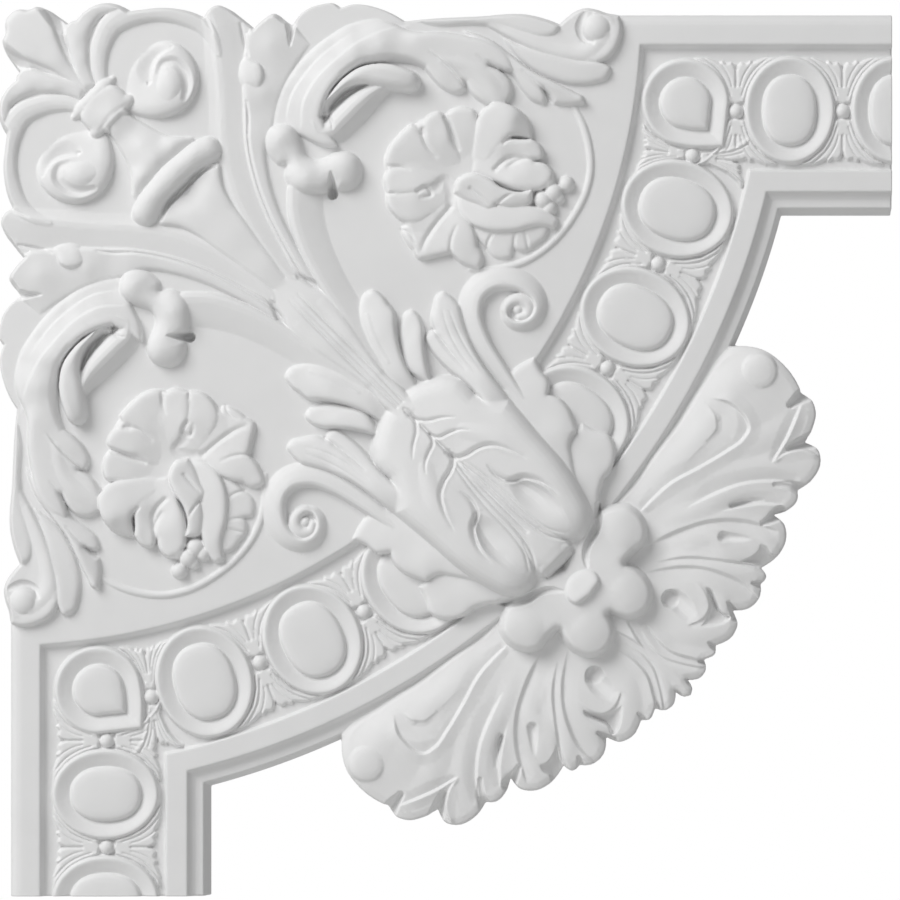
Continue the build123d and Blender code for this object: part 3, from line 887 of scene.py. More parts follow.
@dataclass(frozen=True)
class PrimedCast:
    """Rigid polyurethane foam cast in a mould, with the factory's white primer: matt, and a little chalky."""

    name: str = "primed_polyurethane"
    colour: str = "#E4E4E4"
    shade: str = "#DEDEDE"
    roughness: float = 0.62
    ior: float = 1.46
    specular: float = 0.35
    mottle_mm: float = 22.0
    mottle_detail: float = 3.0
    # The primer's own grain is finer than a pixel of the render, so it is drawn coarse enough to show.
    grain_mm: float = 0.9
    grain_detail: float = 2.0
    grain_depth_mm: float = 0.018
    grain_strength: float = 0.35

    def make(self) -> bpy.types.Material:
        """Builds the material.

        Returns:
            The material.
        """
        material = bpy.data.materials.new(self.name)
        material.use_nodes = True
        tree = material.node_tree
        tree.nodes.clear()
        place = add_node(tree, "ShaderNodeTexCoord")
        coords = place.outputs["Object"]
        mottle = add_node(tree, "ShaderNodeTexNoise", Vector=coords, Scale=1 / (self.mottle_mm * MM),
            Detail=self.mottle_detail)
        tone = add_node(tree, "ShaderNodeMix", {"data_type": "RGBA"})
        tree.links.new(mottle.outputs["Fac"], tone.inputs[0])
        tone.inputs[6].default_value = linear(self.colour)
        tone.inputs[7].default_value = linear(self.shade)
        grain = add_node(tree, "ShaderNodeTexNoise", Vector=coords, Scale=1 / (self.grain_mm * MM),
            Detail=self.grain_detail)
        bump = add_node(
            tree, "ShaderNodeBump", Strength=self.grain_strength, Distance=self.grain_depth_mm * MM,
            Height=grain.outputs["Fac"]
        )
        body = add_node(
            tree, "ShaderNodeBsdfPrincipled", Base_Color=tone.outputs[2], Roughness=self.roughness,
            IOR=self.ior,
            Normal=bump.outputs["Normal"],
        )
        body.inputs["Specular IOR Level"].default_value = self.specular
        out = add_node(tree, "ShaderNodeOutputMaterial")
        tree.links.new(body.outputs["BSDF"], out.inputs["Surface"])
        return material


@dataclass
class Casting:
    """The moulding's carved surface, cut into pieces, and its flat back."""

    finish: PrimedCast = PrimedCast()
    front: tuple = ("top_leg", "side_leg", "corner_leaf", "upper_scroll", "side_scroll", "folded_leaf",
        "shell_leaf")
    corner_end: float = 300.0
    stem_half: float = 75.0
    stem_slope: float = 0.9
    leg_start: float = 352.0
    band_radius: float = 362.0
    hub_half: float = 150.0
    hub_start: float = 590.0
    shell_radius: float = 464.0
    shell_side: float = 150.0

    def region(self, x: np.ndarray, d: np.ndarray) -> np.ndarray:
        """Number of the piece that a place belongs to.

        Args:
            x: places across.
            d: places down.

        Returns:
            One number for each place, in the order of front.
        """
        top_leg, side_leg, corner, upper, side, folded, shell = range(len(self.front))
        out = np.full(len(x), folded)
        across, down, away = x - d, x + d, np.hypot(x, d)
        lean = self.stem_slope * (np.abs(across) - self.stem_half)
        out[(down < self.corner_end) & (np.abs(across) < self.corner_end)] = corner
        out[(across > self.stem_half) & (down >= self.corner_end - lean)] = upper
        out[(across < -self.stem_half) & (down >= self.corner_end - lean)] = side
        out[(across > 0) & ((x > self.leg_start) | (away > self.band_radius))] = top_leg
        out[(across <= 0) & ((d > self.leg_start) | (away > self.band_radius))] = side_leg
        out[(np.abs(across) < self.hub_half) & (down > self.hub_start)] = folded
        out[(away > self.shell_radius) & (np.minimum(x, d) > self.shell_side)] = shell
        return out

    def to_frame(self, points: np.ndarray) -> np.ndarray:
        """Drawing frame in mm to the frame of the model in metres."""
        out = np.stack([points[:, 0] - FRAME_CORNER, -points[:, 2], FRAME_CORNER - points[:, 1]], 1)
        return out * MM

    def piece(self, name: str, points: np.ndarray, faces: np.ndarray | list,
            normals: np.ndarray | None = None) -> bpy.types.Object:
        """Makes one piece, smooth where it has normals, hangs it on the root body and hides the CAD node.

        Args:
            name: name of the piece.
            points: its points in the frame, in metres.
            faces: its faces as rows of point numbers.
            normals: a normal for each point, or None for flat shading.

        Returns:
            The new object.
        """
        mesh = bpy.data.meshes.new(name)
        mesh.from_pydata(points.tolist(), [], faces if isinstance(faces, list) else faces.tolist())
        mesh.update()
        if normals is not None:
            mesh.shade_smooth()
            mesh.normals_split_custom_set_from_vertices(normals.tolist())
        piece = bpy.data.objects.new(name, mesh)
        bpy.context.scene.collection.objects.link(piece)
        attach(piece, "root")
        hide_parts(NODE)
        LOG.info("%s: %d faces", name, len(mesh.polygons))
        return piece

    def build(self, relief: Relief) -> None:
        """Makes every piece of the casting from the carved relief.

        Args:
            relief: the sheet.
        """
        points, normals, tri, loops = Mesher().build(relief)
        LOG.info("%d triangles, %d loops, longest %d", len(tri), len(loops), len(loops[0]))
        material = self.finish.make()
        middle = points[tri].mean(1)
        number = self.region(middle[:, 0], middle[:, 1])
        world = self.to_frame(points)
        lean = np.stack([normals[:, 0], -normals[:, 2], -normals[:, 1]], 1)
        for index, name in enumerate(self.front):
            own = tri[number == index]
            used, faces = np.unique(own, return_inverse=True)
            piece = self.piece(name, world[used], faces.reshape(-1, 3), lean[used])
            piece.data.materials.append(material)
        back = self.piece("flat_back", world[loops[0]], [list(range(len(loops[0])))])
        back.data.materials.append(material)


@dataclass(frozen=True)
class Lamp:
    """A square lamp that faces the panel: its middle and size in metres, its power in watts."""

    name: str
    place: tuple
    size: float
    power: float


@dataclass
class Studio:
    """Camera, lamps, world and floor."""

    distance: float = 1.98
    foot: tuple = (288.6, 286.1)
    middle: tuple = (254.3, 251.8)
    width: float = 514.3
    floor_drop: float = 1.15
    sensor: float = 36.0
    view_depth: float = 100.0
    front_height: float = 18.5
    aim: tuple = (0.19, 0.0, -0.19)
    lamps: tuple = (
        Lamp("key", (-1.9, -2.0, 1.95), 1.9, 104.0),
        Lamp("fill", (1.9, -2.6, 0.2), 2.2, 5.0),
    )
    daylight: float = 0.27
    floor_half: float = 3.0
    floor_colour: str = "#EFEFEE"
    floor_glow: float = 0.8

    def camera(self) -> None:
        """Sets the camera where the photograph was taken from, square to the panel."""
        data = bpy.data.cameras.new("camera")
        data.sensor_width = self.sensor
        data.lens = self.sensor * self.distance / (self.width * MM)
        data.shift_x = (self.middle[0] - self.foot[0]) / self.width
        data.shift_y = (self.foot[1] - self.middle[1]) / self.width
        data.clip_end = self.view_depth
        camera = bpy.data.objects.new("camera", data)
        x, z = (self.foot[0] - FRAME_CORNER) * MM, (FRAME_CORNER - self.foot[1]) * MM
        camera.location = (x, -self.distance - self.front_height * MM, z)
        camera.rotation_euler = (math.pi / 2, 0, 0)
        bpy.context.scene.collection.objects.link(camera)
        bpy.context.scene.camera = camera

    def hang(self, lamp: Lamp) -> None:
        """Hangs one lamp so that it faces the panel.

        Args:
            lamp: the lamp.
        """
        data = bpy.data.lights.new(lamp.name, "AREA")
        data.shape, data.size, data.energy = "SQUARE", lamp.size, lamp.power
        hung = bpy.data.objects.new(lamp.name, data)
        hung.location = lamp.place
        way = Vector(np.array(self.aim) - np.array(lamp.place))
        hung.rotation_euler = way.to_track_quat("-Z", "Y").to_euler()
        bpy.context.scene.collection.objects.link(hung)

    def surroundings(self) -> None:
        """White to the camera, plain grey light to the panel."""
        world = bpy.data.worlds.new("studio")
        bpy.context.scene.world = world
        world.use_nodes = True
        tree = world.node_tree
        tree.nodes.clear()
        path = add_node(tree, "ShaderNodeLightPath")
        seen = add_node(tree, "ShaderNodeMath", {"operation": "MAXIMUM"})
        tree.links.new(path.outputs["Is Camera Ray"], seen.inputs[0])
        tree.links.new(path.outputs["Is Glossy Ray"], seen.inputs[1])
        through = add_node(tree, "ShaderNodeMath", {"operation": "MAXIMUM"})
        tree.links.new(seen.outputs[0], through.inputs[0])
        tree.links.new(path.outputs["Is Transmission Ray"], through.inputs[1])
        white = add_node(tree, "ShaderNodeBackground", Color=(1, 1, 1, 1), Strength=1.0)
        grey = add_node(tree, "ShaderNodeBackground", Color=(1, 1, 1, 1), Strength=self.daylight)
        mix = add_node(tree, "ShaderNodeMixShader")
        tree.links.new(through.outputs[0], mix.inputs[0])
        tree.links.new(grey.outputs[0], mix.inputs[1])
        tree.links.new(white.outputs[0], mix.inputs[2])
        out = add_node(tree, "ShaderNodeOutputWorld")
        tree.links.new(mix.outputs[0], out.inputs["Surface"])

    def floor(self) -> None:
        """Lays a pale floor well below the panel, so that its shadow stays out of the photograph's view."""
        mesh = bpy.data.meshes.new("floor")
        s, z = self.floor_half, -self.floor_drop
        mesh.from_pydata([(-s, -s, z), (s, -s, z), (s, s, z), (-s, s, z)], [], [(0, 1, 2, 3)])
        floor = bpy.data.objects.new("floor", mesh)
        bpy.context.scene.collection.objects.link(floor)
        material = bpy.data.materials.new("pale_floor")
        material.use_nodes = True
        tree = material.node_tree
        tree.nodes.clear()
        path = add_node(tree, "ShaderNodeLightPath")
        cloth = add_node(tree, "ShaderNodeBsdfDiffuse", Color=linear(self.floor_colour))
        glow = add_node(tree, "ShaderNodeEmission", Color=(1, 1, 1, 1), Strength=1.0)
        both = add_node(tree, "ShaderNodeMixShader")
        share = add_node(tree, "ShaderNodeMath", {"operation": "MULTIPLY"})
        tree.links.new(path.outputs["Is Camera Ray"], share.inputs[0])
        share.inputs[1].default_value = self.floor_glow
        tree.links.new(share.outputs[0], both.inputs[0])
        tree.links.new(cloth.outputs[0], both.inputs[1])
        tree.links.new(glow.outputs[0], both.inputs[2])
        out = add_node(tree, "ShaderNodeOutputMaterial")
        tree.links.new(both.outputs[0], out.inputs["Surface"])
        mesh.materials.append(material)

    def build(self) -> None:
        """Sets up everything round the object."""
        self.camera()
        self.surroundings()
        self.floor()
        for lamp in self.lamps:
            self.hang(lamp)
        bpy.context.scene.view_settings.view_transform = "Standard"


# The ornament


@dataclass
class Ornament:
    """A group of carved forms. Each method cuts the half right of the diagonal."""

    crisp: tuple = ((0, -4.0), (0.5, -2.0), (1.2, -0.9), (2.4, -0.25), (4.0, 0.0))

    def carve(self, relief: Relief) -> None:
        """Cuts the group into the sheet."""
        raise NotImplementedError


@dataclass
class CornerLeaf(Ornament):
    """Corner lobes, the band and its volute, the tie, the bell, the stems and the trefoil."""

    full: tuple = ((0, -7.0), (0.6, -4.6), (1.6, -2.9), (3.2, -1.4), (5.2, -0.5), (8.0, 0.0))
    rim: tuple = ((0, -4.6), (0.6, -3.0), (1.8, -1.7), (3.4, -0.8), (5.5, -0.2), (7.0, 0.0))

    def lobes(self, relief: Relief) -> None:
        """The lobe on the corner, and the leaf beside it.

        Args:
            relief: the sheet.
        """
        relief.plateau(
            outline(
                ((30, 4), (36, 2), (46, -5), (60, -8), (72, -3)),
                ((62, 3), (55.4, 4.4), (51.4, 9), (48.8, 17), (48.2, 26), (49.6, 35), (52.6, 43.4)),
                ((46, 46), (38, 30), (33, 14), (30, 4)),
            ),
            ((36, 8, 20.6), (42, 4, 21.6), (50, -2, 22.4), (62, -3, 22.4), (40, 20, 21.8), (45, 12, 22),
             (45, 28, 21.6), (47, 18, 20.8), (47, 32, 20.8), (50, 5, 21.6), (36, 22, 20.4), (42, 34, 21.2),
             (48, 41, 20.8)),
            self.crisp,
        )
        half = outline(
            ((3, 3), (8, -0.6), (14, -0.9), (18, -2.8), (21.4, -1.4)),
            ((25, 3.4), (28.2, 10), (31.2, 18), (34.6, 26), (40, 34), (48, 42)),
            ((48, 48),),
        )
        relief.plateau(
            over_diagonal(half),
            ((4, 4, 20.6), (14, 4, 21.6), (20, 2, 22.2), (25, 8, 22.6), (28, 16, 22.4), (15, 15, 21.4),
             (30, 30, 21.8), (36, 30, 21.2), (42, 38, 20.6), (46, 46, 20.6), (4, 14, 21.6), (2, 20, 22.2),
             (8, 25, 22.6), (16, 28, 22.4), (30, 36, 21.2), (38, 42, 20.6), (26, 20, 21.8), (20, 26, 21.8)),
            self.crisp,
        )
        relief.add(((20, -3, 3, -3), (26, 2.4, 4.6, -7), (31, 8, 4.6, -8), (33.6, 13, 1.6, -2)),
            ((-1, 1), (-0.2, 0.85), (0.6, 0.35), (1, 0)))
        relief.add(((33.2, 12, 0.9, -1.0), (33.6, 17, 1.1, -1.3), (36, 22.6, 1.2, -1.3),
            (39.4, 29, 1.0, -0.4)), Cut.GROOVE)

    def band(self, relief: Relief) -> None:
        """The band that leaves the tie and rolls round the volute.

        Args:
            relief: the sheet.
        """
        section = ((-1, 0), (-0.94, 0.42), (-0.76, 0.74), (-0.3, 1), (0.2, 0.95), (0.6, 0.72), (0.86, 0.3),
            (1, -0.3))
        relief.stroke(
            ((56, 43, 3.4, 21), (54, 32, 5.0, 21.2), (55.8, 19, 6.0, 21.6), (61, 9, 6.8, 21.8),
             (70, 3.4, 7.2, 22), (80, 1.2, 6.6, 22), (92, 1.0, 6.4, 21.8), (103, 3.6, 6.4, 21.4),
             (112, 8.6, 5.6, 20.8), (118, 16, 4.6, 20.0), (122, 26, 3, 19.2)),
            section, 2.8,
        )
        relief.add(((113, 2.6, 1.6, -1.4), (115.6, 7, 1.8, -1.2), (119, 13.6, 1.4, -0.4)), Cut.GROOVE)

    def volute(self, relief: Relief) -> None:
        """The disc inside the band, its spiral valley and its eye.

        Args:
            relief: the sheet.
        """
        relief.plateau(
            outline(
                ((70.6, 59), (78, 61.2), (88, 62), (98, 59.4), (105, 54.4), (109, 48), (110.8, 40),
                 (109.4, 32), (106, 26), (100, 20.4), (92, 17.6), (83, 18.4), (76, 22)),
                ((69, 30), (66, 42), (68, 52), (70.6, 59)),
            ),
            ((70, 34, 18.6), (72, 44, 19.6), (78, 24, 18.6), (92, 19, 21.8), (82, 30, 20.6), (106, 34, 24.2),
             (104, 50, 25.2), (88, 59, 24.6), (74, 57, 22.4), (96, 27, 23.6), (88, 50, 24.2), (80, 50, 22),
             (99, 24, 23.6)),
            self.rim,
        )
        valley = ((-1, 0), (-0.5, 0.3), (0.05, 0.75), (0.45, 1), (0.75, 0.8), (1, 0))
        relief.add(((81, 40.6, 3.8, -2.2), (80.4, 36, 5.0, -2.8), (81.6, 30, 5.2, -3.0),
            (86, 24.6, 4.2, -2.4), (94, 21.4, 2.6, -0.8)), valley)
        relief.add(((88, 37, 2, -0.6), (91, 31.4, 3.0, -1.6), (97, 30.6, 3.6, -2.2), (102, 35, 3.6, -2.8),
            (104.6, 43, 3.4, -2.8), (103, 51.6, 2.2, -1.2)),
                      ((-1, 0), (-0.6, 0.45), (-0.15, 1), (0.3, 0.9), (0.7, 0.45), (1, 0)))
        relief.plateau(
            outline(((87, 38), (88.6, 35), (93, 33.2), (98, 34.6), (101.6, 39), (102.8, 45), (101, 51),
                (96, 57), (88, 57), (83, 50), (87, 38))), ((90, 37, 24.8), (95, 36, 25.6), (100, 41, 26.4),
                    (100, 48, 26.4), (94, 44, 26.6), (88, 50, 24.2), (94, 55, 25), (86, 46, 23.6)),
            ((0, -3.8), (0.6, -2.6), (1.6, -1.6), (3.2, -0.7), (5.2, -0.1), (6.5, 0)),
        )

    def tie(self, relief: Relief) -> None:
        """The two rolls of the tie on the diagonal.

        Args:
            relief: the sheet.
        """
        relief.stroke(((44, 58.4, 2.2, 20.6), (46.6, 55.2, 3.8, 22.8), (53, 48.6, 4.2, 24),
            (59, 42.4, 3.8, 22.8), (61.6, 39.8, 2.2, 20.6)), Cut.ROUND, 4.0)
        half = outline(
            ((49, 49), (63.6, 44), (66, 45.6), (69.4, 48.8)),
            ((72.6, 49.4), (74.4, 52.6), (72.4, 55.6), (70.4, 57.6)),
            ((70.8, 60.6), (67.6, 61.4), (66, 63.4), (64.6, 64.6)),
        )
        relief.plateau(
            over_diagonal(half),
            ((55, 55, 24.8), (62, 62, 26.2), (66, 50, 24.6), (71, 53, 24), (69, 58, 24.6), (50, 66, 24.6),
             (53, 71, 24), (58, 69, 24.6)),
            self.crisp,
        )
        relief.add(((55, 69.5, 1.6, -0.3), (60, 62.6, 2.0, -0.6), (62.6, 60, 2.0, -0.6),
            (69.5, 55, 1.6, -0.3)),
                      ((-1, 0), (-0.3, 0.6), (0.2, 1), (0.6, 0.4), (1, 0)))

    def bell(self, relief: Relief) -> None:
        """The bell below the tie: its flare, its rolled lip and the cone that comes out of it.

        Args:
            relief: the sheet.
        """
        cone = outline(
            ((104, 104), (112, 91), (119, 88), (122.8, 88.4), (123.8, 95), (125.4, 102), (130, 110.6),
             (137, 120), (144, 129.6), (151, 139), (157.4, 147.6), (166, 157.6)),
            ((168, 168),),
        )
        relief.plateau(
            over_diagonal(cone),
            ((108, 108, 20.4), (114, 94, 20.6), (120, 94, 22.2), (122.6, 100, 22.2), (116, 106, 22.2),
             (130, 114, 22.2), (130, 130, 23), (145, 135, 22.2), (148, 148, 22.4), (163, 163, 20.4),
             (94, 120, 22.2), (94, 114, 20.6), (100, 122.6, 22.2), (106, 116, 22.2), (114, 130, 22.2),
             (135, 145, 22.2)),
            ((0, -3.0), (0.5, -1.7), (1.2, -0.8), (2.4, -0.25), (4.0, 0.0)),
        )
        flare = outline(
            ((62, 62), (70, 59.8), (75, 62.6), (81, 66), (88, 70), (94, 72.4), (100, 73), (106.6, 73.2)),
            ((110, 76), (104, 88), (100, 100)),
        )
        relief.plateau(
            over_diagonal(flare),
            ((66, 66, 23.6), (78, 78, 24.6), (76, 66, 21.4), (90, 74, 22.2), (102, 75, 23.6), (96, 79, 24.8),
             (87, 87, 25.8), (107, 78, 20.6), (100, 84, 21.2), (92, 92, 21.6), (66, 76, 21.4), (74, 90, 22.2),
             (75, 102, 23.6), (79, 96, 24.8), (78, 107, 20.6), (84, 100, 21.2)),
            ((0, -2.6), (0.5, -1.2), (1.2, -0.5), (2.4, -0.1), (4.0, 0.0)),
        )
        lip = outline(
            ((90, 90), (97, 84.4), (104, 78.8), (111, 74.6), (116.4, 72.8), (120.6, 74), (123.6, 78),
             (124.2, 82), (122, 85.6), (118, 88.2), (112, 91.6), (106, 96.4), (101.4, 101.4)),
        )
        relief.plateau(
            over_diagonal(lip),
            ((96, 96, 27.6), (108, 84, 27), (118, 78, 26), (113, 88, 26), (121, 82, 25.4), (103, 94, 26.8),
             (92, 92.4, 27), (103, 82, 26.6), (84, 108, 27), (78, 118, 26), (88, 113, 26), (82, 121, 25.4),
             (94, 103, 26.8), (82, 103, 26.6)),
            ((0, -6.0), (0.5, -4.2), (1.4, -2.6), (2.8, -1.3), (4.4, -0.5), (6.5, 0.0)),
        )
        relief.add(
            ((120, 89.6, 1.2, -1.0), (113.6, 92, 1.6, -3.0), (106.6, 97.6, 1.8, -4.0),
             (97.6, 106.6, 1.8, -4.0), (92, 113.6, 1.6, -3.0), (89.6, 120, 1.2, -1.0)),
            Cut.ROUND,
        )

    def stems(self, relief: Relief) -> None:
        """The stems that run down to the folded leaf, and the lobes they start from.

        Args:
            relief: the sheet.
        """
        relief.add(
            ((120, -2, 10, 2.6), (125, 10, 12, 3.0), (128, 28, 14, 2.8), (130, 50, 14, 2.2),
             (131, 72, 14, 2.0), (134, 94, 13, 2.2), (141, 114, 12, 2.4), (151, 132, 10, 2.6),
             (165, 151, 8, 2.8)),
            ((-1, 0), (-0.6, 0.2), (-0.1, 0.7), (0.3, 1), (0.52, 0.9), (0.62, 0.6), (0.7, 0.4), (1, 0)),
        )
        relief.plateau(
            outline(
                ((139, 14), (146, 2), (153, -3), (162, 4), (168, 12), (176, 20)),
                ((166, 34), (159, 48), (154, 66), (149.4, 78), (151, 96), (155.6, 112), (166, 134),
                 (179, 156)),
                ((169, 152), (158, 135), (148, 115), (141, 95), (137.2, 75), (136.4, 56), (136, 40),
                 (138, 14)),
                ((139, 14),),
            ),
            ((150, 3, 22.4), (145, 14, 21.6), (152, 20, 22.6), (144, 36, 21.2), (148, 48, 22),
             (143, 60, 21.0), (146, 70, 21.6), (145, 86, 21.6), (149, 104, 21.8), (158, 126, 22),
             (172, 150, 22.2), (160, 10, 21.4), (166, 22, 20.2), (158, 38, 20.2), (154, 54, 20.0),
             (150, 68, 20.4)),
            ((0, -2.2), (0.5, -1.1), (1.2, -0.45), (2.2, -0.1), (3.5, 0.0)),
        )
        relief.stroke(
            ((172, 104, 10.5, 23), (172.4, 116, 10.6, 23), (176, 131, 10, 23), (183, 147, 9, 23),
             (194, 166, 8, 23), (208, 188, 7, 23.4), (220, 205, 6, 24)),
            ((-1, -0.2), (-0.6, 0.2), (-0.1, 0.6), (0.4, 0.94), (0.7, 1), (0.9, 0.8), (1, 0.2)), 4,
        )
        for half, amount, *points in (
            (1.4, -1.7, (138, 53), (139, 60), (139.2, 75), (143, 95), (150, 115), (160, 135), (167, 147),
             (174.6, 157.6)), (1.5, -1.8, (134.6, 8), (135.6, 13), (137, 20), (139, 27)),
        ):
            relief.add(fading(points, half, amount, 0.5, 0.5),
                ((-1, 0), (-0.4, 0.55), (0, 1), (0.35, 0.5), (1, 0)))
        relief.plateau(
            outline(((134, 31), (137, 27.6), (142, 29.4), (146, 31.6), (148.2, 36), (148, 41), (146.4, 45.4)),
                ((141, 48), (135, 44), (132, 38), (134, 31))), ((134, 36, 20.8), (138, 31, 22.4),
                    (144, 34, 24.2), (146, 38, 24.4), (145, 43, 23.6), (138, 42, 22.2), (140, 46, 21.0)),
            ((0, -4.6), (0.5, -2.4), (1.2, -1.2), (2.4, -0.45), (4.4, 0.0)),
        )
        relief.add(((142.4, 9.6, 1.6, -2.4), (141.8, 12, 1.2, -1.0)), Cut.ROUND)

    def trefoil(self, relief: Relief) -> None:
        """Three joined balls over the stems, and the cup between them."""
        relief.plateau(
            outline(
                ((148, 76), (149.4, 71), (152.6, 67.4), (158, 65.8), (163.6, 67), (168, 72), (170.4, 78),
                 (172.6, 83.4), (178, 86), (183.6, 84.6), (189, 82), (196, 81.6), (201, 84.4), (203.8, 90),
                 (203.8, 95.6), (201, 101), (195.4, 103.6), (190, 103.6), (187.4, 101)),
                ((184, 104.4), (177, 105.6), (169.4, 105.2), (163.4, 102), (160, 96.4), (160.6, 89.4)),
                ((156, 89.4), (152, 86.4), (149, 82), (148, 76)),
            ),
            ((157, 76, 27), (163, 78, 26.2), (152, 74, 25.4), (156, 84, 24), (165, 88, 25.4), (173, 96, 28),
             (164, 97, 26), (180, 97, 26.6), (186, 92, 26.2), (194, 92, 27.4), (199, 94, 26.4), (192, 99, 26),
             (178, 89, 25.6), (170, 86, 25.4)),
            self.full,
        )
        relief.add(((187.4, 106, 2.8, -7), (187.2, 100, 2.0, -5.5), (186.8, 93.6, 0.8, -0.8)), Cut.ROUND)

    def carve(self, relief: Relief) -> None:
        """Cuts the group into the sheet.

        Args:
            relief: the sheet.
        """
        self.lobes(relief)
        self.band(relief)
        self.stems(relief)
        self.bell(relief)
        self.volute(relief)
        self.tie(relief)
        self.trefoil(relief)


